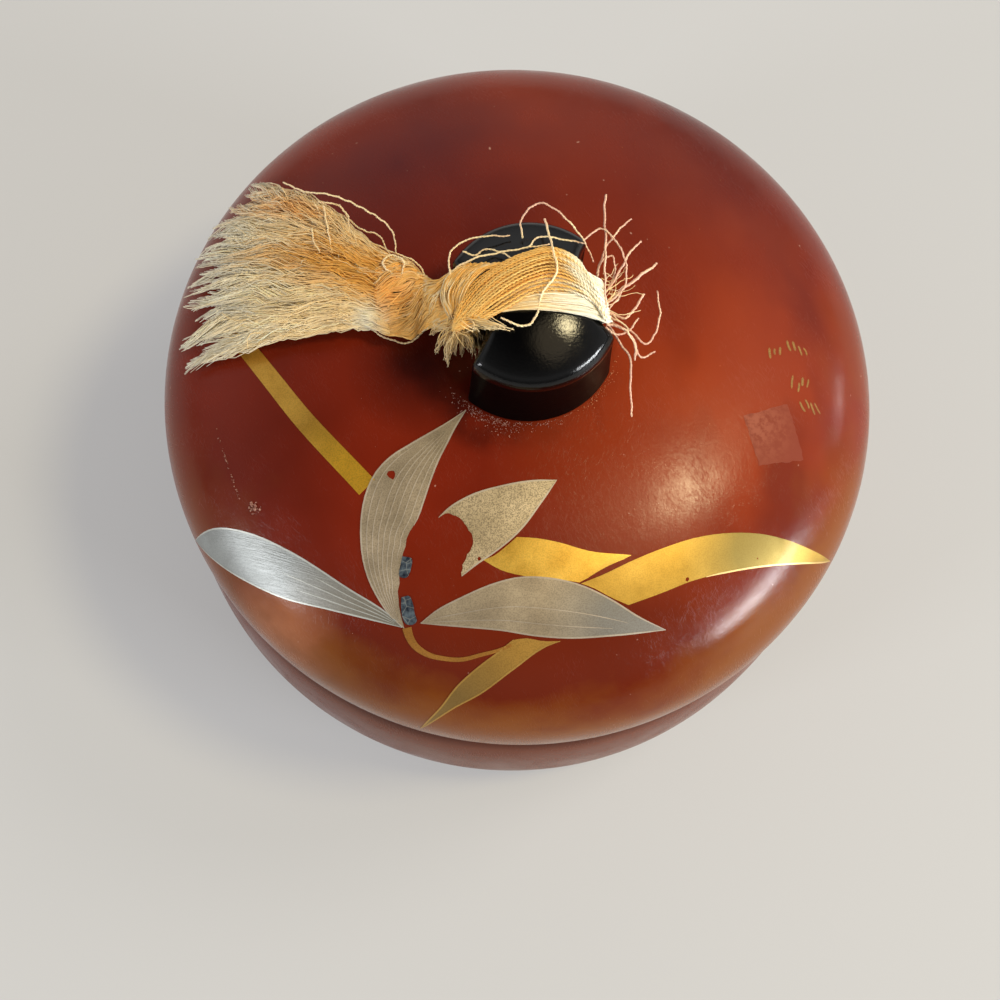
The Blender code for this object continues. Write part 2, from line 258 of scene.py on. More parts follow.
# Camera and light
CAMERA_TARGET_Z = EQUATOR_Z
CAMERA_DISTANCE = 0.2507
CAMERA_AZIMUTH = -18.0
CAMERA_ELEVATION = 69.2
CAMERA_AIM = Vector((-0.0075, -0.0212, 0.060))
CAMERA_ROLL = 7.4
CAMERA_LENS = 54
LIGHT_DISTANCE = 2.0
LIGHT_TARGET = Vector((0, 0, 0.055))

# Area lights: azimuth and elevation in degrees, width and depth in metres (no depth if round), watts, colour
LIGHTS = {
    "lamp": (-12, 61, 0.38, None, 18.5, (1.0, 0.84, 0.48)),
    "ceiling_glow": (-45, 68, 1.0, None, 3.4, (1.0, 0.80, 0.52)),
    "key": (14, 44, 0.7, None, 11.0, (1.0, 0.92, 0.82)),
    "window_right": (-38, 13, 0.90, 0.30, 38.0, (0.95, 0.98, 1.0)),
    "window_far_right": (3, 7, 0.35, 0.10, 2.0, (0.95, 0.98, 1.0)),
    "window_left": (-163, 14, 0.50, 0.35, 15.0, (0.96, 0.97, 1.0)),
}
NO_HIGHLIGHT = "key"
FLOOR_SIZE = 3.0
FLOOR_GLOW = 0.30


# ---------------------------------------------------------------- helpers

def make_object(name, vertices, faces, mat, sharp_angle=None):
    mesh = bpy.data.meshes.new(name)
    mesh.from_pydata([tuple(v) for v in vertices], [], [tuple(f) for f in faces])
    mesh.materials.append(mat)
    mesh.shade_smooth()
    if sharp_angle is not None:
        mesh.set_sharp_from_angle(angle=math.radians(sharp_angle))
    mesh.update()
    obj = bpy.data.objects.new(name, mesh)
    bpy.context.scene.collection.objects.link(obj)
    return obj


def ride_root(obj, slot, *nodes):
    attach(obj, "root")
    if nodes:
        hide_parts(*nodes)


def ring_solid(name, rings, mat, ends=(), sharp_angle=None):
    """A closed form over rings of points, drawn to an end point at each side or closed there by a flat face."""
    rings = np.asarray(rings)
    rows, around, _ = rings.shape
    last = (rows - 1) * around
    turn = [(j, (j + 1) % around) for j in range(around)]
    faces = [(r + j, r + k, r + around + k, r + around + j) for r in range(0, last, around) for j, k in turn]
    if ends:
        first_end = rows * around
        faces += [(k, j, first_end) for j, k in turn] + [(last + j, last + k, first_end + 1) for j, k in turn]
    else:
        faces += [range(around - 1, -1, -1), range(last, last + around)]
    return make_object(name, rings.reshape(-1, 3).tolist() + list(ends), faces, mat, sharp_angle)


def face_outward(obj):
    """Turns every face outward and drops loose points."""
    tidy = bmesh.new()
    tidy.from_mesh(obj.data)
    bmesh.ops.delete(tidy, geom=[v for v in tidy.verts if not v.link_faces], context="VERTS")
    bmesh.ops.recalc_face_normals(tidy, faces=tidy.faces)
    tidy.to_mesh(obj.data)
    tidy.free()
    return obj


def direction(azimuth, elevation):
    """Unit vector: azimuth anticlockwise from +X, both in degrees."""
    a = math.radians(azimuth)
    e = math.radians(elevation)
    return Vector((math.cos(a) * math.cos(e), math.sin(a) * math.cos(e), math.sin(e)))


def unit(vectors):
    """Vectors in rows, each brought to length 1."""
    return vectors / np.maximum(np.linalg.norm(vectors, axis=-1, keepdims=True), 1e-9)


def sideways(path):
    """Unit vectors to the left of a flat path, at its points."""
    steps = unit(np.gradient(path, axis=0))
    return np.stack((-steps[:, 1], steps[:, 0]), axis=1)


def smooth(points, slopes, i, t, width=1.0):
    """Places on a smooth curve at share t of the way from point i to the next, which is width away."""
    start = (1 + 2 * t) * (1 - t) ** 2 * points[i] + t * (1 - t) ** 2 * width * slopes[i]
    return start + t**2 * (3 - 2 * t) * points[i + 1] + t**2 * (t - 1) * width * slopes[i + 1]


def curve_through(points, count):
    """count points along one smooth curve through the given points, evenly spaced."""
    points = np.asarray(points, dtype=float)
    knots = np.concatenate(([0.0], np.cumsum(np.linalg.norm(np.diff(points, axis=0), axis=1))))
    at = np.linspace(0, knots[-1], count)
    i = np.clip(np.searchsorted(knots, at, side="right") - 1, 0, len(knots) - 2)
    width = (knots[i + 1] - knots[i])[:, None]
    return smooth(points, np.gradient(points, knots, axis=0), i, (at - knots[i])[:, None] / width, width)


def table(rows, at):
    """Values of a table of rows read at fractional row numbers, along a smooth curve."""
    rows = np.asarray(rows, dtype=float)
    at = np.clip(np.asarray(at, dtype=float), 0, len(rows) - 1)
    i = np.minimum(at.astype(int), len(rows) - 2)
    return smooth(rows, np.gradient(rows, axis=0), i, (at - i)[..., None])


# ---------------------------------------------------------------- material helpers

class Look:
    """A material or world, with short names for the nodes that the looks are built from."""

    def __init__(self, owner, shader="Principled BSDF"):
        owner.use_nodes = True
        self.owner = owner
        self.tree = owner.node_tree
        self.shader = self.tree.nodes[shader]

    def link(self, value, socket):
        """Links value into socket, or sets it there if it is a plain number or colour."""
        if isinstance(value, bpy.types.NodeSocket):
            self.tree.links.new(value, socket)
        else:
            socket.default_value = (*value, 1.0) if socket.type == "RGBA" else value

    def put(self, values):
        for name, value in values.items():
            self.link(value, self.shader.inputs[name])

    def node(self, kind, inputs, **settings):
        node = self.tree.nodes.new(kind)
        for key, value in settings.items():
            setattr(node, key, value)
        for key, value in inputs.items():
            self.link(value, node.inputs[key])
        return node

    def place(self, space="Object"):
        return self.node("ShaderNodeTexCoord", {}).outputs[space]

    def axes(self, space="Object"):
        return self.node("ShaderNodeSeparateXYZ", {"Vector": self.place(space)}).outputs

    def mapped(self, scale, rotation=(0, 0, 0), location=(0, 0, 0), kind="POINT"):
        inputs = {"Vector": self.place(), "Location": location, "Rotation": rotation, "Scale": scale}
        return self.node("ShaderNodeMapping", inputs, vector_type=kind).outputs[0]

    def noise(self, scale, detail, roughness, vector=None):
        inputs = {"Vector": vector or self.place(), "Scale": scale, "Detail": detail, "Roughness": roughness}
        return self.node("ShaderNodeTexNoise", inputs).outputs["Fac"]

    def remap(self, value, low, high, to_low=0.0, to_high=1.0):
        inputs = {"Value": value, "From Min": low, "From Max": high, "To Min": to_low, "To Max": to_high}
        return self.node("ShaderNodeMapRange", inputs).outputs[0]

    def times(self, a, b):
        return self.node("ShaderNodeMath", {0: a, 1: b}, operation="MULTIPLY").outputs[0]

    def plus(self, a, b):
        return self.node("ShaderNodeMath", {0: a, 1: b}, operation="ADD").outputs[0]

    def mix(self, colour, *tints):
        """A colour drawn towards others one after another, each given as its share and itself."""
        for share, tint in tints:
            colour = self.node("ShaderNodeMix", {0: share, 6: colour, 7: tint}, data_type="RGBA").outputs[2]
        return colour

    def away(self, point):
        """Distance from a point."""
        inputs = {0: self.place(), 1: point}
        return self.node("ShaderNodeVectorMath", inputs, operation="DISTANCE").outputs["Value"]

    def near(self, point, inner, outer):
        """1 within inner of a point, falling to 0 at outer."""
        return self.remap(self.away(point), outer, inner)

    def bump(self, height, strength, distance, normal=None):
        inputs = {"Height": height, "Strength": strength, "Distance": distance}
        if normal:
            inputs["Normal"] = normal
        return self.node("ShaderNodeBump", inputs).outputs[0]

    def scratches(self, angle, length, width, seed, low=0.60, high=0.74):
        """Short sparse strokes of about length and width that run at one angle in plan."""
        turn = (0, 0, math.radians(angle))
        vector = self.mapped((length, width, length), turn, (seed * 0.0137, seed * 0.0071, 0), "TEXTURE")
        return self.remap(self.noise(1, 2, 0.6, vector), low, high)


def new_look(name):
    return Look(bpy.data.materials.new(name))


# ---------------------------------------------------------------- turned forms

def quarter(start, end, power, count, start_flat):
    """Points of a quarter superellipse, running off along the radius first where start_flat is set."""
    points = []
    for i in range(count + 1):
        angle = math.pi / 2 * i / count
        along = math.sin(angle) ** (2 / power)
        across = 1 - max(math.cos(angle), 0) ** (2 / power)
        share_r, share_z = (along, across) if start_flat else (across, along)
        points.append((start[0] + (end[0] - start[0]) * share_r, start[1] + (end[1] - start[1]) * share_z))
    points[-1] = end
    return points


def turned(name, profile, mat):
    """A closed turned piece from a profile that starts and ends on the axis."""
    kept = profile[:1]
    for point in profile[1:]:
        if math.dist(point, kept[-1]) > 1e-6:
            kept.append(point)
    turn = np.linspace(0, math.tau, TURNING_STEPS, endpoint=False)
    rings = [[(r * math.cos(a), r * math.sin(a), z) for a in turn] for r, z in kept[-2:0:-1]]
    return ring_solid(name, rings, mat, [(0, 0, kept[-1][1]), (0, 0, kept[0][1])], sharp_angle=40)


def dome_z(radius):
    share = np.minimum(np.abs(radius) / LID_RADIUS, 1)
    return EQUATOR_Z + DOME_HEIGHT * (1 - share**DOME_PLAN_POWER) ** (1 / DOME_RISE_POWER)


def curl_radius(z):
    return LID_RADIUS * math.sqrt(1 - ((EQUATOR_Z - z) / CURL_HEIGHT) ** 2)


def lid_outside():
    """The lid's outside from the edge of the knob's seat down to the top of the lip's rounding."""
    start = math.acos((SEAT_RADIUS / LID_RADIUS) ** (DOME_PLAN_POWER / 2))
    points = []
    for i in range(DOME_STEPS + 1):
        angle = start * (1 - i / DOME_STEPS)
        radius = LID_RADIUS * math.cos(angle) ** (2 / DOME_PLAN_POWER)
        points.append((radius, dome_z(radius)))
    lip_top = SEAM_Z + LIP_ROUNDING
    for i in range(1, CURL_STEPS + 1):
        z = EQUATOR_Z + (lip_top - EQUATOR_Z) * i / CURL_STEPS
        points.append((curl_radius(z), z))
    return points


LID_OUTSIDE = lid_outside()
LID_REACH = [SEAT_RADIUS]
for before, after in zip(LID_OUTSIDE, LID_OUTSIDE[1:]):
    LID_REACH.append(LID_REACH[-1] + math.dist(before, after))


def lid_point(a, b, lift=0.0):
    """The point of the lid's outside at unrolled coordinates a, b, raised by lift along the normal."""
    reach = math.hypot(a, b)
    if reach < SEAT_RADIUS:
        return Vector((a, b, SEAT_Z + lift))
    i = min(max(int(np.searchsorted(LID_REACH, reach)), 1), len(LID_REACH) - 1)
    share = (reach - LID_REACH[i - 1]) / (LID_REACH[i] - LID_REACH[i - 1])
    first, second = Vector(LID_OUTSIDE[i - 1]), Vector(LID_OUTSIDE[i])
    run = (second - first).normalized()
    spot = first.lerp(second, share) + Vector((-run.y, run.x)) * lift
    return Vector((a / reach * spot.x, b / reach * spot.x, spot.y))


def lid_profile():
    outside = [(0, SEAT_Z), (SEAT_RADIUS - 0.0002, SEAT_Z)] + LID_OUTSIDE
    lip_outer, lip_top = LID_OUTSIDE[-1]
    points = outside + quarter((lip_outer, lip_top), (lip_outer - LIP_ROUNDING, SEAM_Z), 2, 8, False)[1:]
    points += [(LID_BORE_RADIUS + EDGE_BREAK, SEAM_Z), (LID_BORE_RADIUS, SEAM_Z + EDGE_BREAK)]
    return points + quarter((LID_BORE_RADIUS, LID_BORE_TOP_Z), (0, SEAT_Z - LID_TOP_WALL), LID_BORE_POWER, 36, False)


def base_profile():
    widest = (BASE_RADIUS, BASE_WIDEST_Z)
    inner_widest = (BASE_RADIUS - BASE_WALL, BASE_WIDEST_Z)
    inner = FLANGE_RADIUS - FLANGE_WALL
    recess = FOOT_RADIUS - FOOT_WIDTH
    return [
        (0, FOOT_RECESS), (recess, FOOT_RECESS), (recess, 0), (FOOT_RADIUS - 2 * EDGE_BREAK, 0),
        *quarter((FOOT_RADIUS, FOOT_HEIGHT), widest, BASE_LOWER_POWER, 30, True),
        *reversed(quarter((BASE_RIM_RADIUS, BASE_RIM_Z), widest, BASE_UPPER_POWER, 36, True)),
        (FLANGE_RADIUS, BASE_RIM_Z), (FLANGE_RADIUS, FLANGE_TOP_Z - EDGE_BREAK),
        (FLANGE_RADIUS - EDGE_BREAK, FLANGE_TOP_Z), (inner + EDGE_BREAK, FLANGE_TOP_Z),
        (inner, FLANGE_TOP_Z - EDGE_BREAK), (inner, BASE_RIM_Z - 0.004),
        *quarter((inner, BASE_RIM_Z - 0.0041), inner_widest, 1.7, 12, False)[1:],
        *quarter(inner_widest, (FLOOR_RADIUS, FLOOR_TOP_Z), BASE_LOWER_POWER, 20, False)[1:],
        (0, FLOOR_TOP_Z),
    ]


# ---------------------------------------------------------------- materials

def lacquer_material(name, foot=False):
    """Cloudy red-brown lacquer: amber where it thins towards the lower rim, a plum patch at the back, rubbed."""
    look = new_look(name)
    cloud = look.noise(30, 3, 0.5)
    fine_cloud = look.noise(95, 4, 0.55, look.mapped((1, 1, 1.6)))
    blotch = look.noise(42, 3, 0.5, look.mapped((1.3, 0.8, 1), (0, 0, 0.5)))
    wear = look.noise(120, 5, 0.6)
    x, y, z = look.axes()

    def drifting(value, reach, field=cloud):
        return look.plus(value, look.remap(field, 0.3, 0.7, -reach, reach))

    right = look.remap(x, 0.008, 0.034)
    thin = look.remap(drifting(drifting(z, 0.0022, fine_cloud), 0.0040), 0.0625, 0.0550)
    thin = look.times(look.times(thin, look.remap(y, 0.010, -0.040)), 0.35 if foot else 1.0)
    # Painted highlight of window light below the left silver leaf
    painted_window_highlight = look.times(look.near((-0.043, -0.034, 0.057), 0.002, 0.011), look.remap(fine_cloud, 0.2, 0.5))
    tints = [
        (look.remap(cloud, 0.34, 0.66), LACQUER_RED),
        # Painted light: the back of the lid drawn lighter and more orange, where more light falls
        (look.remap(y, 0.005, 0.045, 0.0, 0.45), LACQUER_ORANGE),
        (look.remap(y, -0.026, -0.044, 0.0, 0.70), LACQUER_BROWN),
    ]
    if foot:
        tints.append((0.6, LACQUER_BASE))
    else:
        # Dark dirt round the knob's foot, which is also painted shade where the knob's shadow falls at its lower left
        dust = look.times(look.near((-0.0035, -0.0040, SEAT_Z), 0.0125, 0.0150), look.remap(fine_cloud, 0.35, 0.6))
        # Painted highlight: a pale line along the lip, where the floor is reflected
        lip = look.times(look.remap(z, SEAM_Z + 0.0026, SEAM_Z + 0.0010), look.remap(cloud, 0.3, 0.5))
        # Painted shadow under the tassel, left of the knob
        painted_silk_shadow = look.near((-0.0170, -0.0020, SEAT_Z), 0.002, 0.011)
        tints += [(look.times(dust, 0.55), LACQUER_DIRT_AND_SHADE), (look.times(painted_silk_shadow, 0.75), LACQUER_DIRT_AND_SHADE),
                  (look.times(lip, 0.8), LACQUER_PAINTED_LIP_HIGHLIGHT)]
    tints += [
        (look.remap(drifting(look.away((0.024, -0.014, 0.067)), 0.009), 0.036, 0.006, 0.0, 0.90), LACQUER_ORANGE),
        (look.times(right, look.remap(blotch, 0.48, 0.64, 0.0, 0.5)), LACQUER_MAROON),
        (look.times(right, look.remap(blotch, 0.46, 0.32, 0.0, 0.35)), LACQUER_ORANGE),
        (look.remap(look.away((0.036, 0.034, 0.060)), 0.032, 0.006, 0.0, 0.60), LACQUER_MAROON),
        (thin, LACQUER_AMBER),
        (look.remap(drifting(look.away((-0.014, 0.034, 0.068)), 0.006), 0.026, 0.004, 0.0, 0.92), LACQUER_PLUM),
        (look.times(painted_window_highlight, 0.8), LACQUER_PAINTED_HIGHLIGHT),
        (look.remap(look.noise(900, 1, 0.5), 0.80, 0.84, 0.0, 0.55), LACQUER_SPECK),
    ]
    if foot:
        # Painted shade on the base just under the lid's lip
        painted_lip_shade = look.remap(drifting(z, 0.0010), SEAM_Z - 0.0065, SEAM_Z - 0.0015, 0.0, 0.9)
        tints.append((painted_lip_shade, LACQUER_DIRT_AND_SHADE))
    rubbed = look.scratches(112, 0.0016, 0.00014, 1)
    for angle, length, width, seed in ((98, 0.0020, 0.00012, 2), (60, 0.0012, 0.00016, 3), (128, 0.0024, 0.00013, 4)):
        rubbed = look.plus(rubbed, look.scratches(angle, length, width, seed))
    rubbed = look.times(rubbed, look.remap(wear, 0.36, 0.60, 0.2, 1.0))
    normal = look.bump(rubbed, 0.35, 0.00003, look.bump(look.noise(1900, 3, 0.7), 0.45, 0.00004))
    look.put({
        "Base Color": look.mix(LACQUER_DEEP, *tints),
        "Roughness": look.plus(look.remap(wear, 0.3, 0.75, 0.14, 0.28), look.times(rubbed, 0.12)),
        "Normal": look.bump(wear, 0.10, 0.0003, normal),
        "Specular IOR Level": 0.03 if foot else 0.17,
    })
    return look.owner


def black_lacquer_material(name, specular, roughness):
    look = new_look(name)
    smear = look.noise(260, 4, 0.6)
    look.put({
        "Base Color": look.mix((0.0005, 0.0005, 0.0006), (smear, (0.0012, 0.0010, 0.0011))),
        "Roughness": look.remap(smear, 0.35, 0.7, roughness, roughness + 0.09),
        "Normal": look.bump(look.noise(2600, 3, 0.6), 0.45, 0.00005),
        "Specular IOR Level": specular,
    })
    return look.owner


def foil_material(name, dark, light, metallic, roughness, grain, coat=0.0, brushed=None, stain=None):
    """Aged metal foil: cloudy tone, fine grain and fine rubbing marks, brushed along an angle where one is given.

    stain is a place, a radius and a colour that the foil turns to there.
    """
    look = new_look(name)
    cloud = look.remap(look.noise(160, 4, 0.6), 0.25, 0.75)
    tints = [(cloud, light)]
    if stain:
        point, radius, tone = stain
        tints.append((look.near(point, radius * 0.3, radius), tone))
    tints.append((look.remap(look.noise(4800, 2, 0.7), 0.45, 0.60, 0, grain), tuple(c * 0.4 for c in dark)))
    normal = look.bump(look.noise(3200, 3, 0.7), 0.25, 0.00006)
    if brushed:
        normal = look.bump(look.scratches(brushed, 0.0040, 0.00022, 9, 0.42, 0.62), 0.30, 0.00005, normal)
    look.put({
        "Base Color": look.mix(dark, *tints),
        "Roughness": look.remap(cloud, 0, 1, roughness - 0.06, roughness + 0.08),
        "Normal": normal,
        "Metallic": metallic,
        "Coat Weight": coat,
        "Coat Roughness": 0.12,
    })
    return look.owner


def shell_material():
    """Dark blue-grey shell, crazed into small pale-edged flakes."""
    look = new_look("shell_chip")
    flakes = look.node("ShaderNodeTexVoronoi", {"Vector": look.place(), "Scale": 700}, feature="DISTANCE_TO_EDGE")
    tone = look.remap(look.noise(1100, 3, 0.6), 0.35, 0.65)
    edge = look.remap(flakes.outputs["Distance"], 0.06, 0.0, 0.0, 0.35)
    colour = look.mix((0.004, 0.007, 0.018), (tone, (0.075, 0.10, 0.125)), (edge, (0.34, 0.36, 0.34)))
    look.put({"Base Color": colour, "Roughness": 0.3})
    return look.owner


def seal_material():
    """The bare lacquer of the rubbed patch."""
    look = new_look("seal_red_lacquer")
    rub = look.remap(look.noise(900, 3, 0.7), 0.42, 0.60)
    worn = look.times(rub, look.near(lid_point(0.0325, -0.0180), 0.001, 0.008))
    colour = look.mix((0.185, 0.030, 0.012), (worn, (0.26, 0.066, 0.035)))
    look.put({"Base Color": colour, "Roughness": 0.45, "Specular IOR Level": 0.2})
    return look.owner


def crumb_material():
    """Pale pink crumbs, orange at the right."""
    look = new_look("crumbs")
    grain = look.remap(look.noise(1800, 2, 0.6), 0.35, 0.65)
    right = look.remap(look.axes()["X"], 0.001, 0.006, 0.0, 0.8)
    colour = look.mix((0.20, 0.060, 0.042), (grain, (0.52, 0.29, 0.225)), (right, (0.62, 0.22, 0.07)))
    look.put({"Base Color": colour, "Roughness": 0.8})
    return look.owner


def silk_material():
    """Silk in each fibre's own colour."""
    look = new_look("tassel_silk")
    own = look.node("ShaderNodeAttribute", {}, attribute_name=TINT).outputs["Color"]
    fine = look.noise(900, 3, 0.6)
    shade = look.remap(fine, 0.25, 0.75, 0.92, 1.06)
    dimmed = look.node("ShaderNodeVectorMath", {0: own, "Scale": shade}, operation="SCALE").outputs[0]
    look.put({
        "Base Color": dimmed, "Roughness": look.remap(fine, 0.2, 0.8, 0.42, 0.62), "Specular IOR Level": 0.35,
    })
    return look.owner


def floor_material():
    """Pale paper with a weak glow, which keeps the shadow on it as light as in a room of pale walls."""
    look = new_look("pale_floor")
    look.put({
        "Base Color": look.mix((0.27, 0.275, 0.285), (look.noise(3, 2, 0.5), (0.29, 0.295, 0.305))),
        "Roughness": 0.55,
        "Specular IOR Level": 0.2,
        "Emission Color": (1.0, 0.985, 0.97),
        "Emission Strength": FLOOR_GLOW,
    })
    return look.owner


# ---------------------------------------------------------------- knob

def arc(centre, radius, start, end, count):
    """Points of an arc about a centre, without its last point."""
    turn = np.linspace(start, end, count, endpoint=False)
    return [(centre[0] + radius * math.cos(a), centre[1] + radius * math.sin(a)) for a in turn]


def knob_outline(inset):
    """The knob seen from above, pulled in by inset: a circle with two round notches, its corners worn round."""
    outer = KNOB_RADIUS - inset
    notch = NOTCH_RADIUS + max(inset, 0)
    bites = []
    for centre in (RIGHT_NOTCH, LEFT_NOTCH):
        reach = math.hypot(*centre)
        along = (outer**2 - notch**2 + reach**2) / (2 * reach)
        heading = math.atan2(centre[1], centre[0])
        bites.append((centre, heading, math.acos(along / outer), math.acos((reach - along) / notch)))
    points = []
    for (centre, heading, half, bite), (_, next_heading, next_half, _) in zip(bites, bites[::-1]):
        points += arc(centre, notch, heading + math.pi + bite, heading + math.pi - bite, 36)
        start = heading + half
        points += arc((0, 0), outer, start, start + (next_heading - next_half - start) % math.tau, 72)
    outline = np.array(points)
    for _ in range(CORNER_WEAR):
        outline = (np.roll(outline, 1, axis=0) + 2 * outline + np.roll(outline, -1, axis=0)) / 4
    return outline


def knob_top(x, y):
    """Height of the knob's crown above its underside: a shallow dome about the axis."""
    share = np.hypot(x, y) / (KNOB_RADIUS - KNOB_EDGE_ROUNDING)
    return KNOB_WALL_HEIGHT + KNOB_EDGE_ROUNDING + KNOB_CROWN * (1 - share**2)


def knob_rings():
    """Rings of points of the knob above its underside, from the foot to near the middle of the crown."""
    rings = []
    for share in np.linspace(0, 1, KNOB_WALL_RINGS):
        outline = knob_outline(-KNOB_FLARE * (1 - share) ** 1.5)
        rings.append([(x, y, (KNOB_WALL_HEIGHT - KNOB_CORNER / 2) * share) for x, y in outline])
    last = KNOB_CORNER_TURN
    shoulder = knob_outline(KNOB_CORNER * (1 - math.cos(last)))
    for angle in np.linspace(0, last, 9):
        drop = KNOB_CORNER * (math.sin(last) - math.sin(angle))
        outline = knob_outline(KNOB_CORNER * (1 - math.cos(angle)))
        rings.append([(x, y, knob_top(*top) - drop) for (x, y), top in zip(outline, shoulder)])
    for share in np.linspace(1, 0, 18)[1:-1]:
        rings.append([(x * share, y * share, knob_top(x * share, y * share)) for x, y in shoulder])
    return rings


def make_knob(mat, wall_mat):
    """The knob, with a low tunnel from notch to notch that the silk runs through."""
    rings = np.array(knob_rings()) + (0, 0, KNOB_BOTTOM_Z)
    ends = [(0, 0, KNOB_BOTTOM_Z), (0, 0, KNOB_BOTTOM_Z + knob_top(0, 0))]
    knob = ring_solid("knob_lacquer", rings, mat, ends)
    knob.data.materials.append(wall_mat)
    for face in knob.data.polygons[:(KNOB_WALL_RINGS - 1) * len(rings[0])]:
        face.material_index = 1
    bpy.ops.mesh.primitive_cube_add(size=1, location=(0, 0, KNOB_BOTTOM_Z + TUNNEL_HEIGHT / 2 - 0.001))
    tunnel = bpy.context.active_object
    tunnel.scale = (4 * KNOB_RADIUS, TUNNEL_WIDTH, TUNNEL_HEIGHT + 0.002)
    cut = knob.modifiers.new("tunnel", "BOOLEAN")
    cut.object = tunnel
    cut.operation = "DIFFERENCE"
    bpy.context.view_layer.update()
    finished = bpy.data.meshes.new_from_object(knob.evaluated_get(bpy.context.evaluated_depsgraph_get()))
    knob.modifiers.clear()
    knob.data = finished
    finished.shade_smooth()
    finished.set_sharp_from_angle(angle=math.radians(32))
    bpy.data.objects.remove(tunnel)
    return knob


# ---------------------------------------------------------------- foil spray

def nibbled(edge, depth, seed):
    """The edge with small ragged bites of up to depth, its ends left in place."""
    rng = random.Random(seed)
    rough = np.array([rng.uniform(-depth, depth) for _ in edge])
    rough[[0, -1]] = 0
    return edge + sideways(edge) * rough[:, None]


def inside(point, outline):
    """Whether a point lies in a closed outline."""
    hit = False
    x, y = point
    for (x0, y0), (x1, y1) in zip(outline, np.roll(outline, -1, axis=0)):
        if (y0 > y) != (y1 > y) and x < x0 + (y - y0) / (y1 - y0) * (x1 - x0):
            hit = not hit
    return hit


def lid_sheet(name, outline, mat, holes=(), lift=FOIL_LIFT, grid=FOIL_GRID):
    """A thin closed sheet on the lid, with an outline and holes in unrolled millimetres."""
    loops = [np.asarray(loop, float) for loop in (outline, *holes)]
    points = [Vector(p) for loop in loops for p in loop]
    edges = []
    for loop in loops:
        first = len(edges)
        edges += [(first + i, first + (i + 1) % len(loop)) for i in range(len(loop))]
    low, high = loops[0].min(axis=0), loops[0].max(axis=0)
    for x in np.arange(low[0] + grid / 2, high[0], grid):
        for y in np.arange(low[1] + grid / 2, high[1], grid):
            if inside((x, y), loops[0]) and min(np.linalg.norm(loops[0] - (x, y), axis=1)) > grid * 0.4:
                points.append(Vector((x, y)))
    flat, _, triangles, *_ = delaunay_2d_cdt(points, edges, [], 0, 1e-6)
    kept = []
    for triangle in triangles:
        middle = sum((flat[i] for i in triangle), Vector((0, 0))) / 3
        if inside(middle, loops[0]) and not any(inside(middle, hole) for hole in loops[1:]):
            kept.append(tuple(triangle))
    count = len(flat)
    vertices = [lid_point(p.x * MM, p.y * MM, side) for side in (lift, -FOIL_DEPTH) for p in flat]
    faces = kept + [tuple(i + count for i in reversed(t)) for t in kept]
    directed = {(t[i], t[(i + 1) % 3]) for t in kept for i in range(3)}
    faces += [(b, a, a + count, b + count) for a, b in directed if (b, a) not in directed]
    return face_outward(make_object(name, vertices, faces, mat, sharp_angle=50))


def ribbon_outline(path, widths):
    """The closed outline of a ribbon along a flat path."""
    across = sideways(path) * (np.asarray(widths) / 2)[:, None]
    return np.concatenate((path + across, (path - across)[::-1]))


def tapered(count, width, start=0.35, end=0.25):
    """Widths of a line that swells from its start and thins towards its end."""
    share = np.linspace(0, 1, count)
    return width * np.minimum(1, np.minimum(start + share * 6, end + (1 - share) * 6))


def lid_line(name, path, width, mat, lift=LINE_LIFT):
    """A line of metal on the lid, tapered towards its ends."""
    return lid_sheet(name, ribbon_outline(path, tapered(len(path), width)), mat, lift=lift, grid=NO_GRID)


def spot(x, y, radius, seed):
    """The outline of a small ragged hole."""
    rng = random.Random(seed)
    turn = np.linspace(0, math.tau, 9, endpoint=False)
    reach = [radius * rng.uniform(0.75, 1.2) for _ in turn]
    return np.array([(x + r * math.cos(a), y + r * math.sin(a)) for r, a in zip(reach, turn)])


def make_leaf(name, left, right, mat, line_mat, veins=(), cut=(), holes=(), ragged=0):
    """A lance-shaped leaf between two edges that run to its tip, with a pale rim and long veins.

    A vein is its share of the way from left to right and where along the leaf it starts and ends. cut closes
    a broken base, and ragged is how many points of the right edge, from the base on, are nibbled.
    """
    left, right = curve_through(left, EDGE_POINTS), curve_through(right, EDGE_POINTS)
    if ragged:
        right[:ragged] = nibbled(right[:ragged], 0.14, 5)
    pieces = [lid_sheet(name, [*left, *right[-2::-1], *cut[1:-1]], mat, holes)]
    lines = [(left, RIM_WIDTH), (right[ragged:], RIM_WIDTH)]
    for share, start, end in veins:
        first, last = (1 + int(place * (EDGE_POINTS - 3)) for place in (start, end))
        lines.append(((left * (1 - share) + right * share)[first:last], VEIN_WIDTH))
    for i, (path, width) in enumerate(lines):
        pieces.append(lid_line(f"{name}_line_{i + 1}", path, width, line_mat))
    return pieces


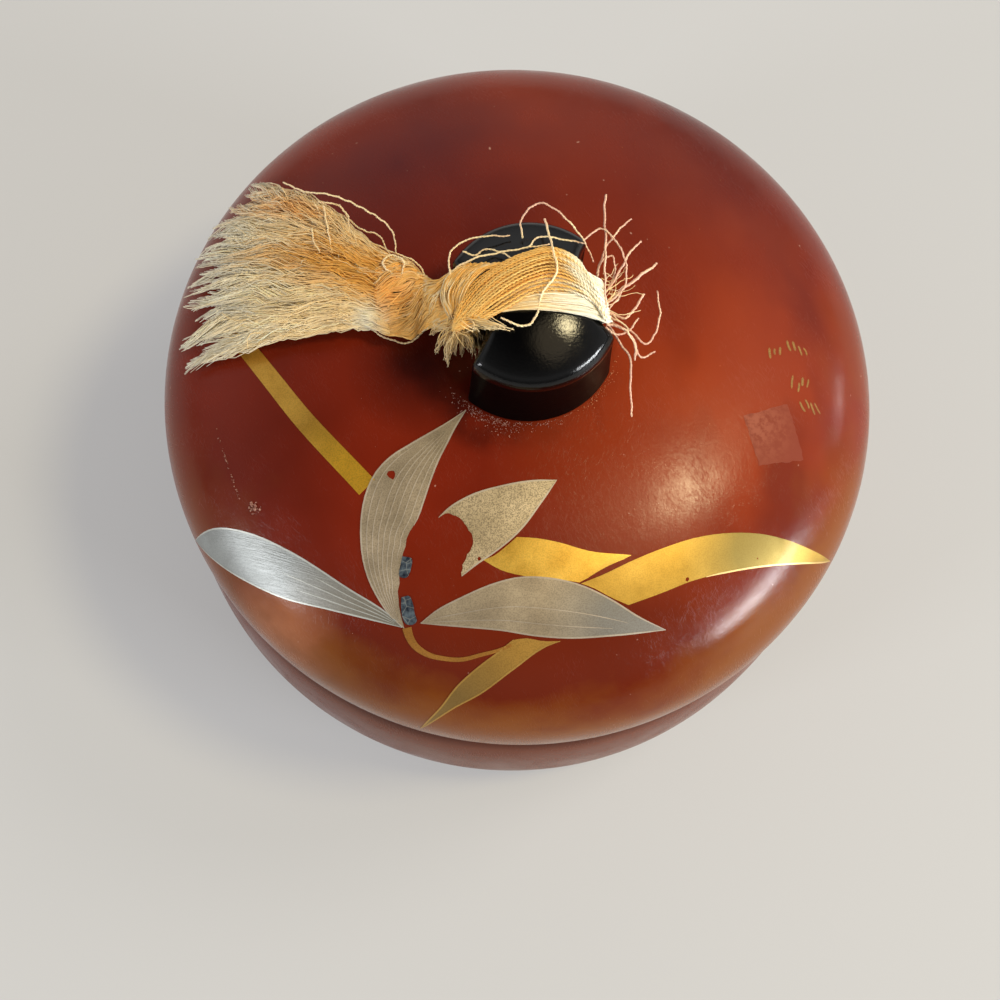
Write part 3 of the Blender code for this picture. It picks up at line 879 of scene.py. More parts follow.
def make_silver_leaves():
    """Three whole leaves and a broken one."""
    silver = foil_material(
        "silver_foil_bright", (0.24, 0.25, 0.245), (0.345, 0.365, 0.36), 0.60, 0.40, 0.25, brushed=150,
        stain=((-0.026, -0.038, 0.0655), 0.019, (0.26, 0.235, 0.19)),
    )
    greige = foil_material("silver_foil_aged", (0.34, 0.27, 0.18), (0.52, 0.42, 0.295), 0.55, 0.42, 0.40)
    low = foil_material(
        "silver_foil_lower", (0.31, 0.245, 0.165), (0.45, 0.365, 0.25), 0.55, 0.45, 0.40,
        stain=(lid_point(0.0075, -0.0445), 0.013, (0.21, 0.20, 0.18)),
    )
    rubbed = foil_material("silver_foil_rubbed", (0.46, 0.36, 0.22), (0.70, 0.57, 0.375), 0.55, 0.42, 0.80)
    line = foil_material("silver_foil_lines", (0.44, 0.37, 0.28), (0.60, 0.52, 0.42), 0.50, 0.42, 0.15)
    cool_line = foil_material("silver_foil_cool_lines", (0.42, 0.43, 0.40), (0.56, 0.57, 0.53), 0.55, 0.42, 0.15)
    low_line = foil_material("silver_foil_lower_lines", (0.36, 0.30, 0.23), (0.48, 0.41, 0.33), 0.50, 0.42, 0.15)
    pieces = make_leaf(
        "leaf_left",
        [(-26.2, -40.1), (-30.2, -38.3), (-37.5, -35.1), (-43.6, -32.5), (-52.1, -27.3), (-63.0, -19.3)],
        [(-26.2, -40.1), (-27.0, -38.9), (-33.5, -32.6), (-41.1, -25.6), (-47.0, -21.5), (-53.0, -19.1),
         (-63.0, -19.3)],
        silver, cool_line, ((0.28, 0, 0.45), (0.52, 0, 0.55), (0.75, 0, 0.4)),
    )
    pieces += make_leaf(
        "leaf_upper",
        [(-25.9, -40.3), (-27.7, -37.9), (-28.9, -35.1), (-29.7, -32.3), (-30.0, -29.0), (-29.7, -25.7), (-29.0, -22.6),
         (-27.8, -19.6), (-25.8, -16.8), (-23.2, -14.9), (-20.2, -13.7), (-14.0, -11.4), (-11.0, -10.0)],
        [(-25.9, -40.3), (-25.9, -36.9), (-25.6, -34.4), (-24.9, -31.9), (-23.9, -29.5), (-22.9, -27.1), (-21.1, -25.0),
         (-19.6, -22.4), (-18.2, -19.8), (-16.4, -16.8), (-14.7, -14.5), (-13.0, -12.2), (-11.0, -10.0)],
        greige, line,
        ((0.13, 0, 0.85), (0.26, 0, 0.62), (0.39, 0, 0.9), (0.51, 0, 0.95), (0.63, 0.05, 0.95), (0.75, 0.1, 0.9),
         (0.88, 0.3, 0.9)),
        holes=(spot(-23.6, -17.6, 0.7, 3),), ragged=14,
    )
    pieces += make_leaf(
        "leaf_lower",
        [(-23.3, -40.0), (-20.8, -38.7), (-16.6, -37.4), (-11.8, -36.3), (-7.9, -36.0), (-3.5, -36.8), (0.8, -38.5),
         (5.3, -41.5), (9.2, -44.8), (13.1, -47.4)],
        [(-23.3, -40.0), (-16.1, -41.9), (-11.4, -43.2), (-6.8, -44.8), (-2.0, -46.0), (4.6, -46.8), (13.1, -47.4)],
        low, low_line, ((0.52, 0, 0.93), (0.79, 0, 0.85)),
    )
    bite = [(-16.0, -34.3), (-15.4, -32.4), (-14.5, -31.3), (-13.5, -29.9), (-13.4, -28.9), (-14.1, -27.2),
            (-14.9, -25.8), (-16.2, -24.9), (-17.8, -25.2)]
    pieces += make_leaf(
        "leaf_broken",
        [(-17.8, -25.2), (-16.2, -24.2), (-12.7, -22.9), (-7.7, -22.3), (-3.5, -22.3), (0.3, -22.8)],
        [(-16.0, -34.3), (-13.2, -32.8), (-11.1, -31.9), (-6.4, -29.2), (-2.3, -25.4), (0.3, -22.8)],
        rubbed, line, cut=nibbled(curve_through(bite, 24), 0.12, 8), holes=(spot(-13.0, -32.2, 0.3, 4),),
    )
    return pieces


def make_gold_blades():
    """Narrow leaves whose broad ends are cut off along the leaf beside them, a stalk and a thin stem."""
    gold = foil_material("gold_foil", (0.66, 0.38, 0.050), (0.90, 0.60, 0.12), 0.85, 0.34, 0.25, 0.2)
    low_gold = foil_material(
        "gold_foil_right", (0.42, 0.25, 0.034), (0.62, 0.385, 0.070), 0.75, 0.42, 0.25, 0.1,
        stain=(lid_point(0.0300, -0.0375), 0.014, (0.24, 0.175, 0.045)),
    )
    stalk_gold = foil_material(
        "gold_foil_stalk", (0.60, 0.31, 0.040), (0.84, 0.49, 0.085), 0.85, 0.34, 0.25, 0.2,
        stain=(lid_point(-0.0285, -0.0170), 0.012, (1.0, 0.56, 0.045)),
    )
    stem_gold = foil_material("gold_foil_stem", (0.36, 0.155, 0.026), (0.48, 0.22, 0.038), 0.60, 0.44, 0.35)
    dull_gold = foil_material(
        "gold_foil_dull", (0.40, 0.215, 0.038), (0.52, 0.29, 0.056), 0.60, 0.44, 0.35,
        stain=((-0.0225, -0.0530, 0.0590), 0.016, (0.25, 0.150, 0.040)),
    )
    edge_gold = foil_material("gold_foil_edges", (0.42, 0.235, 0.050), (0.55, 0.33, 0.08), 0.60, 0.42, 0.2)
    pale_gold = foil_material("gold_foil_pale_edge", (0.66, 0.45, 0.17), (0.86, 0.64, 0.30), 0.60, 0.42, 0.2)
    top = curve_through(
        [(1.2, -38.4), (4.5, -37.7), (9.5, -36.3), (14.9, -35.1), (19.8, -34.4), (24.7, -34.4), (30.3, -35.2),
         (35.1, -36.7), (39.3, -38.5), (47.5, -42.2)], EDGE_POINTS)
    low = curve_through(
        [(7.8, -42.7), (12.9, -41.8), (18.2, -40.7), (25.1, -40.2), (32.3, -40.3), (37.8, -40.8), (42.1, -41.4),
         (47.5, -42.2)], EDGE_POINTS)
    cut = curve_through([(7.8, -42.7), (5.4, -41.2), (2.7, -39.2), (1.2, -38.4)], 8)
    bites = (spot(17.4, -40.35, 0.32, 6), spot(29.5, -38.9, 0.16, 7))
    pieces = [lid_sheet("gold_leaf_right", [*top, *low[-2::-1], *cut[1:-1]], low_gold, bites)]
    middle = [
        *curve_through([(-7.0, -30.1), (-4.4, -30.7), (-1.3, -31.8), (3.2, -33.9), (9.4, -35.5)], 20),
        *curve_through([(1.0, -38.2), (-2.2, -37.2), (-6.9, -35.9), (-10.2, -34.4), (-12.5, -32.5)], 16),
        *curve_through([(-12.5, -32.5), (-11.1, -32.3), (-9.0, -31.3), (-7.0, -30.1)], 8)[1:-1],
    ]
    pieces.append(lid_sheet("gold_leaf_middle", middle, gold))
    pieces += make_leaf(
        "gold_leaf_lower",
        [(-10.1, -44.9), (-12.3, -46.2), (-15.9, -48.1), (-19.8, -50.7), (-23.0, -53.9), (-26.3, -57.1),
         (-29.5, -60.8)],
        [(-3.2, -46.3), (-5.1, -46.6), (-10.8, -49.3), (-16.4, -52.4), (-21.4, -54.6), (-25.5, -57.3),
         (-29.5, -60.8)],
        dull_gold, edge_gold, cut=curve_through([(-3.2, -46.3), (-5.9, -45.8), (-8.1, -45.0), (-10.1, -44.9)], 8),
    )
    pieces.append(lid_line("gold_leaf_right_line", low[EDGE_POINTS // 3:], RIM_WIDTH, pale_gold))
    stalk = curve_through([(-46.6, 13.9), (-43.3, 8.6), (-39.2, 1.0), (-36.0, -5.1), (-27.5, -18.7)], 20)
    pieces.append(lid_sheet("gold_stalk", ribbon_outline(stalk, np.linspace(2.7, 3.2, 20)), stalk_gold))
    stem = curve_through(
        [(-25.5, -40.3), (-25.4, -41.7), (-24.9, -43.1), (-23.3, -44.8), (-20.9, -45.9), (-18.3, -46.5),
         (-15.3, -46.3), (-12.2, -46.0), (-10.5, -45.6)], 30)
    widths = np.interp(np.linspace(0, 1, 30), [0, 0.35, 1], [1.4, 0.75, 0.45])
    pieces.append(lid_sheet("gold_stem", ribbon_outline(stem, widths), stem_gold, lift=LINE_LIFT))
    return pieces


def make_marks():
    """Rows of short worn gold strokes that aren't letters, above a bare, rubbed, square patch of red lacquer."""
    corners = np.array(((30.7, -17.0), (38.7, -15.7), (40.0, -24.7), (31.8, -24.9)))
    sides = [np.linspace(a, b, 12, endpoint=False) for a, b in zip(corners, np.roll(corners, -1, axis=0))]
    seal = nibbled(np.concatenate(sides), 0.12, 12)
    ride_root(lid_sheet("seal_patch", seal, seal_material(), lift=SEAL_LIFT), "red_lacquer")
    worn_gold = foil_material("gold_foil_worn", (0.22, 0.11, 0.024), (0.38, 0.22, 0.050), 0.35, 0.5, 0.6)
    pieces = []
    rng = random.Random(17)
    for row, (a, b, strokes, slant, reach) in enumerate(STROKE_ROWS):
        for i in range(strokes):
            middle = np.array((a + (i - strokes / 2 + 0.5) * 0.95, b + rng.uniform(-0.6, 0.6)))
            turn = slant + rng.uniform(-0.15, 0.15)
            half = np.array((math.cos(turn), math.sin(turn))) * rng.uniform(0.45, 0.90) * reach
            path = curve_through([middle - half, middle + rng.uniform(-0.12, 0.12), middle + half], 8)
            name = f"worn_stroke_{row + 1}_{i + 1}"
            pieces.append(lid_line(name, path, rng.uniform(0.25, 0.42), worn_gold, FOIL_LIFT))
    return pieces


def make_spray():
    """The bamboo spray: leaves in silver, narrow leaves and stalks in gold, two chips of dark shell."""
    for slot, pieces in (("silver_foil", make_silver_leaves()), ("gold_foil", make_gold_blades() + make_marks())):
        for piece in pieces:
            ride_root(piece, slot)
    blue = shell_material()
    chips = (
        [(-24.1, -29.8), (-22.8, -30.4), (-23.1, -31.6), (-24.2, -33.0), (-25.0, -32.7), (-24.6, -31.0)],
        [(-25.4, -35.7), (-24.2, -35.7), (-23.9, -36.7), (-23.9, -38.6), (-23.8, -39.6), (-24.5, -40.0),
         (-25.5, -39.7), (-25.8, -38.6), (-25.7, -37.0)],
    )
    for i, chip in enumerate(chips):
        loop = curve_through(chip + chip[:1], 25)[:-1]
        ride_root(lid_sheet(f"shell_chip_{i + 1}", loop, blue, lift=SHELL_LIFT), "silver_foil")


def make_crumbs():
    """Crumbs and dust of old glue round the foot of the knob, a crust at the left and a few pale grains."""
    rng = random.Random(53)
    grains = []
    for middle, spread, many in CRUMB_HEAPS:
        for _ in range(many):
            turn = math.radians(rng.gauss(middle, spread))
            reach = (KNOB_RADIUS + KNOB_FLARE) / MM + 0.15 + abs(rng.gauss(0, 1.1 if middle < -100 else 0.5))
            grains.append((reach * math.cos(turn), reach * math.sin(turn), rng.uniform(0.03, 0.10)))
    for _ in range(26):
        grains.append((rng.gauss(-45.8, 0.45), rng.gauss(-17.7, 0.45), rng.uniform(0.10, 0.28)))
    for _ in range(60):
        share = rng.choice((0.05, 0.3, 0.42, 0.75, 0.95)) + rng.gauss(0, 0.05)
        grains.append((-49.7 + 1.8 * share + rng.gauss(0, 0.10), -4.9 - 10.5 * share, rng.uniform(0.05, 0.12)))
    for _ in range(70):
        grains.append((rng.uniform(-40, 46), rng.uniform(-44, 34), rng.uniform(0.03, 0.07)))
    vertices, faces = [], []
    for a, b, size in grains:
        middle = lid_point(a * MM, b * MM, size * MM * 0.5)
        first = len(vertices)
        for axis in ((1, 0, 0), (-1, 0, 0), (0, 1, 0), (0, -1, 0), (0, 0, 1), (0, 0, -1)):
            vertices.append(middle + Vector(axis) * size * MM * rng.uniform(0.6, 1.2))
        for i, j in ((0, 2), (2, 1), (1, 3), (3, 0)):
            faces += [(first + i, first + j, first + 4), (first + j, first + i, first + 5)]
    ride_root(make_object("crumbs", vertices, faces, crumb_material(), sharp_angle=20), "red_lacquer")


# ---------------------------------------------------------------- silk

def tubes(name, paths, radii, colours, mat):
    """Closed tubes along paths (tubes, points, 3), with a radius and a colour at each point.

    The map lays each tube out as a strip, in a few rows, so that a thread keeps its own place in it.
    """
    many, count, _ = paths.shape
    sides = FIBRE_SIDES
    tangents = unit(np.gradient(paths, axis=1))
    normals = np.empty_like(paths)
    normals[:, 0] = unit(np.cross(tangents[:, 0], (0.31, 0.17, 0.94)))
    for k in range(1, count):
        slip = np.sum(normals[:, k - 1] * tangents[:, k], axis=1, keepdims=True)
        normals[:, k] = unit(normals[:, k - 1] - tangents[:, k] * slip)
    binormals = np.cross(tangents, normals)
    turn = np.linspace(0, math.tau, sides, endpoint=False)[:, None]
    rings = normals[:, :, None] * np.cos(turn) + binormals[:, :, None] * np.sin(turn)
    vertices = paths[:, :, None] + rings * np.broadcast_to(radii, (many, count))[..., None, None]
    tube, point, side = (axis[..., None] for axis in np.indices((many, count - 1, sides)))
    each, around = np.arange(many)[:, None], np.arange(sides)
    walls = (tube, point + (0, 0, 1, 1), side + (0, 1, 1, 0))
    across = -(-many // MAP_ROWS)
    faces, places = [], []
    for tube, point, side in (walls, (each, 0, around[::-1]), (each, count - 1, around)):
        corners = (tube * count + point) * sides + side % sides
        faces += corners.reshape(-1, corners.shape[-1]).tolist()
        u = (tube % across + side / sides * MAP_FILL_ACROSS) / across
        v = (tube // across + point / (count - 1) * MAP_FILL_ALONG) / MAP_ROWS
        places.append(np.stack(np.broadcast_arrays(u, v), axis=-1).reshape(-1, 2))
    obj = make_object(name, vertices.reshape(-1, 3), faces, mat)
    tint = np.ones((many, count, sides, 4))
    tint[..., :3] = np.clip(colours, 0, 0.99)[:, :, None]
    obj.data.color_attributes.new(TINT, "FLOAT_COLOR", "POINT").data.foreach_set("color", tint.ravel())
    layer = obj.data.uv_layers.new(name="OFBake")
    layer.uv.foreach_set("vector", np.concatenate(places).astype(np.float32).ravel())
    return obj


def plied(paths, colours, spread, pitch, rng):
    """Each path doubled into two plies that wind round it."""
    tangents = np.gradient(paths, axis=1)
    steps = np.linalg.norm(tangents, axis=2)
    tangents /= steps[..., None]
    side = unit(np.cross(tangents, (0.02, 0.05, 1.0)))
    other = np.cross(tangents, side)
    turn = np.cumsum(steps, axis=1) / pitch * math.tau + rng.uniform(0, math.tau, (len(paths), 1))
    turns = [turn[..., None] + half for half in (0, math.pi)]
    plies = [paths + (side * np.cos(turn) + other * np.sin(turn)) * spread for turn in turns]
    return np.concatenate(plies), np.concatenate((colours, colours))


def lid_height(places):
    """Height in millimetres of the lid's outside under places."""
    return dome_z(np.hypot(places[..., 0], places[..., 1]) * MM) / MM


def on_lid(paths, clearance):
    """Paths lifted where they would come nearer to the lid than the clearance."""
    paths[..., 2] = np.maximum(paths[..., 2], lid_height(paths) + clearance)
    return paths


def tail_point(at, across, up):
    """A place in the tassel: at runs along TAIL's rows, across and up from -1 to 1 fill its section."""
    row = table(TAIL, at)
    across = np.asarray(across)
    half = np.sqrt(np.clip(1 - np.abs(across) ** 2.4, 0.02, 1))
    near, far = row[..., 0:2], row[..., 2:4]
    plan = (near + far) / 2 + (far - near) / 2 * across[..., None]
    plan = plan + np.asarray(TAIL_DIRECTION) * (row[..., 6] * (1 - across**2))[..., None]
    z = lid_height(plan) + (row[..., 4] + row[..., 5] * up * half)
    return np.concatenate((plan, z[..., None]), axis=-1)


def crinkle(paths, sizes, lengths, rng):
    """Wavers each path sideways and up and down, by one size or one for each point, in waves of about lengths."""
    many = len(paths)
    run = np.cumsum(np.linalg.norm(np.gradient(paths, axis=1), axis=2), axis=1)
    moved = np.array(paths)
    for axis in range(3):
        for share in (1.0, 0.45):
            waves = run / (rng.uniform(*lengths, (many, 1)) * share)
            moved[..., axis] += np.sin(waves * math.tau + rng.uniform(0, math.tau, (many, 1))) * sizes * share * 0.6
    return moved


def blend_colours(share, *stops):
    """Colours between stops (share, colour), for an array of shares."""
    places = [place for place, _ in stops]
    return np.stack([np.interp(share, places, [colour[c] for _, colour in stops]) for c in range(3)], axis=-1)


def tinted(colours, weight, colour):
    """Colours drawn towards another one by a weight each."""
    return colours * (1 - weight[..., None]) + np.asarray(colour) * weight[..., None]


def stained(paths, colours, place, radius, colour, amount):
    """Colours drawn towards another one round a plan place."""
    reach = np.hypot(paths[..., 0] - place[0], paths[..., 1] - place[1])
    return tinted(colours, amount * np.exp(-((reach / radius) ** 2)), colour)


def in_locks(rng, many, locks):
    """Sorts fibres into locks: the lock of each, and a function for random values that a lock shares."""
    own = rng.integers(0, locks, many)
    return own, lambda low, high: rng.uniform(low, high, locks)[own][:, None]


def shared_wave(shared, run, lengths):
    """A waver between -1 and 1 that all the fibres of a lock share, in waves of about lengths."""
    phase = shared(0, math.tau)
    return np.sin(run / shared(*lengths) * math.tau + phase)


def skirt_colours(across, along):
    """Straw to cream along the skirt, a golden wedge from the head and an orange tuft at the far corner."""
    colours = blend_colours(along, (0.0, SILK_STRAW), (0.40, SILK_KHAKI), (0.70, SILK_PALE), (1.0, SILK_WHITE))
    colours = tinted(colours, np.clip(2.3 - np.abs(across - 0.05) / 0.50 - along * 2.3, 0, 1), SILK_GOLD)
    corner = np.exp(-(((across - 0.76) / 0.17) ** 2) - ((along - 0.78) / 0.22) ** 2)
    return tinted(colours, 0.9 * corner, SILK_ORANGE)


def skirt_fibres(many, locks, count, seed, low, high):
    """Crimped fibres of the skirt in locks that waver together, cross a little and end in points."""
    rng = np.random.default_rng(seed)
    own, shared = in_locks(rng, many, locks)
    tip = np.linspace(-0.97, 0.97, locks) + rng.uniform(-0.02, 0.02, locks)
    root = tip * 0.92 + rng.normal(0, 0.11, locks)
    along = np.linspace(0, 1, count)[None]
    aside = np.clip(rng.normal(0, 1, (many, 1)), -2, 2)
    shorter = 1 - 0.06 * np.abs(aside) - 0.10 * rng.uniform(0, 1, (many, 1)) ** 3
    reach = rng.uniform(0.82, 1.04, locks)
    reach[[0, -1]] = 1.02
    at = SKIRT_START + (len(TAIL) - 1 - SKIRT_START) * along * (reach[own][:, None] * shorter)
    gather = along**1.2
    middle = root[own][:, None] * (1 - gather) + tip[own][:, None] * gather
    spread = shared(0.07, 0.13) * (1 - 0.78 * along**1.6)
    ragged = 1 + 0.05 * rng.uniform(-1, 1.6, (many, 1)) * along
    across = np.clip(middle + aside * spread, -ragged, ragged)
    up = shared(low, high) + rng.normal(0, 0.16, (many, 1)) * (1 - 0.5 * along)
    up = np.clip(up * np.clip(0.5 + along * 2, 0, 1), -1, 1.04)
    paths = tail_point(at, across, up)
    run = along * SKIRT_LENGTH
    waver = shared_wave(shared, run, (10, 17)) * shared(0.4, 1.1) * along
    crimp = shared_wave(shared, run + rng.normal(0, 0.25, (many, 1)), (4.6, 7.0))
    waver = waver + crimp * 0.27 * np.clip(along * 3, 0, 1)
    paths[..., :2] += waver[..., None] * (TAIL_DIRECTION[1], -TAIL_DIRECTION[0])
    paths[..., 2] += shared_wave(shared, run, (6, 12)) * 0.35 * along
    sizes = (0.03 + 0.09 * along) * rng.uniform(0.5, 1.5, (many, 1))
    paths = on_lid(crinkle(paths, sizes, (3.0, 6.5), rng), 0.25)
    radii = rng.uniform(0.075, 0.13, (many, 1)) * (1 - 0.5 * along**4)
    colours = skirt_colours(across + rng.normal(0, 0.05, (many, 1)), along + rng.normal(0, 0.07, (many, 1)))
    colours = stained(paths, colours, (-23.4, 5.4), 2.2, SILK_WHITE, 0.9)
    tone = shared(0.84, 1.06) * rng.uniform(0.82, 1.10, (many, 1))
    return paths, radii, colours * tone[..., None]


def head_threads(many, seed):
    """Fine combed threads from the knob's waist through the neck and in a slow twist round the head."""
    rng = np.random.default_rng(seed)
    own, shared = in_locks(rng, many, HEAD_LOCKS)
    along = np.linspace(0, 1, HEAD_POINTS)[None]
    turn = np.linspace(0, math.tau, HEAD_LOCKS, endpoint=False)[own][:, None] + rng.normal(0, 0.12, (many, 1))
    turn = turn + 2.1 * along**1.4 + 0.10 * shared_wave(shared, along * 24, (7, 12))
    depth = 0.99 - 0.16 * rng.uniform(0, 1, (many, 1)) ** 1.5 + 0.05 * shared_wave(shared, along * 24, (5, 9))
    depth = depth * (1 - 0.40 * np.clip((along - 0.88) / 0.12, 0, 1) ** 2)
    paths = tail_point(along * HEAD_END, np.cos(turn) * depth, np.sin(turn) * depth)
    paths = on_lid(crinkle(paths, 0.07 * (0.3 + along), (2.4, 5.0), rng), 0.3)
    tone = np.clip(shared(0, 1) + rng.normal(0, 0.22, (many, 1)), 0, 1)
    colours = blend_colours(tone, (0.0, SILK_GOLD), (0.45, SILK_HONEY), (0.75, SILK_STRAW), (1.0, SILK_CREAM))
    colours = stained(paths, colours, (-19.8, 7.5), 5.0, SILK_ORANGE, 1.0)
    colours = stained(paths, colours, (-22.6, 4.4), 1.9, SILK_WHITE, 0.9)
    colours = colours * rng.uniform(0.72, 1.06, (many, 1, 1))
    return paths, rng.uniform(0.09, 0.15, (many, 1)), colours


def knob_surface(x, y):
    """Height in millimetres of the knob's crown, kept level past its edge."""
    reach = np.minimum(np.hypot(x, y), (KNOB_RADIUS - KNOB_EDGE_ROUNDING) / MM)
    return (KNOB_BOTTOM_Z + knob_top(reach * MM, 0)) / MM


def over_knob(plan, clearance):
    """A station of the band over the knob's crown."""
    return (*plan, knob_surface(*plan) + clearance)


def band_threads(many, seed, lift, tones):
    """Two-ply threads that rise at the left, fan out slanting over the crown, and go down the right notch."""
    rng = np.random.default_rng(seed)
    routes = []
    for i in range(many):
        t = np.clip((i + 0.5 + rng.uniform(-0.12, 0.12)) / many, 0, 1)
        side = (t - 0.5) * 4.4
        weights = np.array(((1 - t) * (1 - 2 * t), 4 * t * (1 - t), t * (2 * t - 1)))
        plan = np.einsum("k,skc->sc", weights, np.array(BAND_FAN))
        height = lift + 0.12 * (i % 2) + 0.35 * math.sin(t * math.pi)
        y = plan[-1, 1]
        routes.append(curve_through([
            (0, side * 0.9, 73.6), (-5.6, side * 0.9, 73.8), (-8.5, side, 76.4), (-10.2, side * 0.4 - 1.0, 81.0),
            *(over_knob(place, height) for place in plan),
            (10.2, y * 0.85, 84.4), (9.6, y * 0.6, 80.4), (8.6, side, 76.6), (5.6, side * 0.9, 73.8),
            (0, side * 0.9, 73.6),
        ], BAND_POINTS))
    paths = crinkle(routes, 0.05, (4.0, 9.0), rng)
    tone = np.clip(rng.uniform(0, 0.55, (many, 1)) + np.clip((paths[..., 0] - 4.0) / 4.0, 0, 0.8), 0, 1)
    colours = blend_colours(tone, *tones) * rng.uniform(0.90, 1.06, (many, 1, 1))
    paths, colours = plied(paths, colours, 0.115, 1.25, rng)
    return paths, 0.125, colours


def band_floss(many, seed):
    """Straight pale untwisted silk over the right half of the crown, under the slanting threads."""
    rng = np.random.default_rng(seed)
    routes = []
    for _ in range(many):
        t = rng.uniform(0, 1)
        side = (t - 0.5) * 4.6
        lift = rng.uniform(0.25, 0.85)
        out = rng.uniform(-0.3, 0.5)
        routes.append(curve_through([
            over_knob((-5.5, -2.2 + 2.6 * t), lift * 0.6), over_knob((-0.5, -3.0 + 4.6 * t), lift),
            over_knob((4.0, -4.0 + 6.2 * t), lift), over_knob((7.6, -4.9 + 7.0 * t), lift),
            (9.7 + out, -5.6 + 6.8 * t, 86.2), (10.2 + out, -3.6 + 5.0 * t, 82.0), (8.9 + out, side, 77.0),
            (5.8, side * 0.9, 73.9), (0, side * 0.9, 73.7),
        ], FLOSS_POINTS))
    paths = crinkle(routes, 0.08, (4.0, 10.0), rng)
    tone = (paths[..., 0] + 1.5) / 7.0 + rng.normal(0, 0.15, (many, 1))
    colours = blend_colours(tone, (0.0, SILK_STRAW), (1.0, SILK_WHITE)) * rng.uniform(0.86, 1.03, (many, 1, 1))
    return paths, 0.115, colours


def wing_fibres(many, seed):
    """Loose silk spread like a wing from the pinch, and up from the neck, over the crown's left corner."""
    rng = np.random.default_rng(seed)
    routes = []
    for i in range(many):
        t = rng.uniform(0, 1)
        if i % 4:
            stations = [(-11.6 + 0.8 * t, -1.3 + 0.5 * t, 85.2), (-12.5 + 3 * t, 2 - 0.6 * t, 86.7 + 1.5 * t),
                        (-11.2 + 5 * t, 4.7 - 0.5 * t, 87.6 + 1.2 * t), (-9 + 5.5 * t, 6 - 1.6 * t, 87.3 + 1.6 * t)]
        else:
            stations = [(-14.6, 1 + 4.4 * t, 83.6), (-13.9, 1.8 + 3.4 * t, 85.2), (-12.9, 2.6 + 2 * t, 86.2),
                        (-10.6, 4.6 + 0.6 * t, 87.4)]
        routes.append(curve_through(np.array(stations) + rng.normal(0, 0.16, (4, 3)), WING_POINTS))
    paths = crinkle(routes, 0.07, (2.8, 6.0), rng)
    colours = blend_colours(rng.uniform(0, 1, (many, 1)), (0.0, SILK_GOLD), (0.5, SILK_HONEY), (1.0, SILK_CREAM))
    colours *= rng.uniform(0.70, 1.02, (many, 1, 1))
    return paths, rng.uniform(0.08, 0.13, (many, 1)), colours


def fringe_fibres(seed):
    """Cut ends in pointed tufts that spill down at the left of the knob, and some that lie forward on its crown."""
    rng = np.random.default_rng(seed)
    routes, shades = [], []
    for tuft, end in enumerate([*FRINGE_ENDS, *(over_knob(place, 0.6) for place in FORWARD_ENDS)]):
        over = tuft >= len(FRINGE_ENDS)
        for part in range(2):
            goal = np.array(end) + rng.normal(0, 0.45, 3) * (0.4 if over else 1.0)
            for _ in range(6 if over else 13):
                top = np.array((-10.9, -1.7, 85.9)) + rng.normal(0, (0.5, 0.6, 0.3))
                tip = top + (goal - top) * rng.uniform(0.74, 1.06) + rng.normal(0, 0.20, 3)
                middle = (top + tip) / 2 + rng.normal(0, 0.24, 3)
                middle += (0, -0.3, 1.0) if over else ((end[0] + 10.4) * 0.18, -0.5, 1.3)
                routes.append(curve_through((top, middle, tip), FRINGE_POINTS))
                shades.append(0.82 + 0.12 * (tuft % 2) + 0.06 * part)
    many = len(routes)
    along = np.linspace(0, 1, FRINGE_POINTS)[None]
    paths = crinkle(routes, 0.04 + 0.10 * along, (2.0, 5.0), rng)
    tone = along * 0.8 + rng.normal(0.1, 0.2, (many, 1))
    colours = blend_colours(tone, (0.0, SILK_BAND), (0.5, SILK_STRAW), (1.0, SILK_PALE))
    colours *= np.array(shades)[:, None, None] * rng.uniform(0.85, 1.1, (many, 1, 1))
    return paths, rng.uniform(0.06, 0.11, (many, 1)) * (1 - 0.45 * along), colours


def stray_threads():
    """Single loose threads, each along its own route: over the crown, round the head and frayed at the right."""
    rng = np.random.default_rng(41)
    paths = crinkle([curve_through(route, STRAY_POINTS) for _, *route in STRAY_ROUTES], 0.09, (1.8, 4.5), rng)
    along = np.linspace(0, 1, STRAY_POINTS)[None]
    radii = np.array([radius for radius, *_ in STRAY_ROUTES])[:, None] * (1 - 0.35 * along**4) * 0.70
    behind = np.minimum((paths[..., 1] - 8.0) / 3.0, (paths[..., 0] + 5.0) / 2.0)
    pink = np.clip(np.maximum((paths[..., 0] - 7.0) / 3.0, behind), 0, 1)
    pink = pink + 0.25 * np.sin(along * 9 + rng.uniform(0, 6, (len(paths), 1)))
    paths, colours = plied(paths, blend_colours(pink, (0.0, SILK_CREAM), (1.0, SILK_PINK)), 0.07, 1.1, rng)
    return paths, np.concatenate((radii, radii)), colours


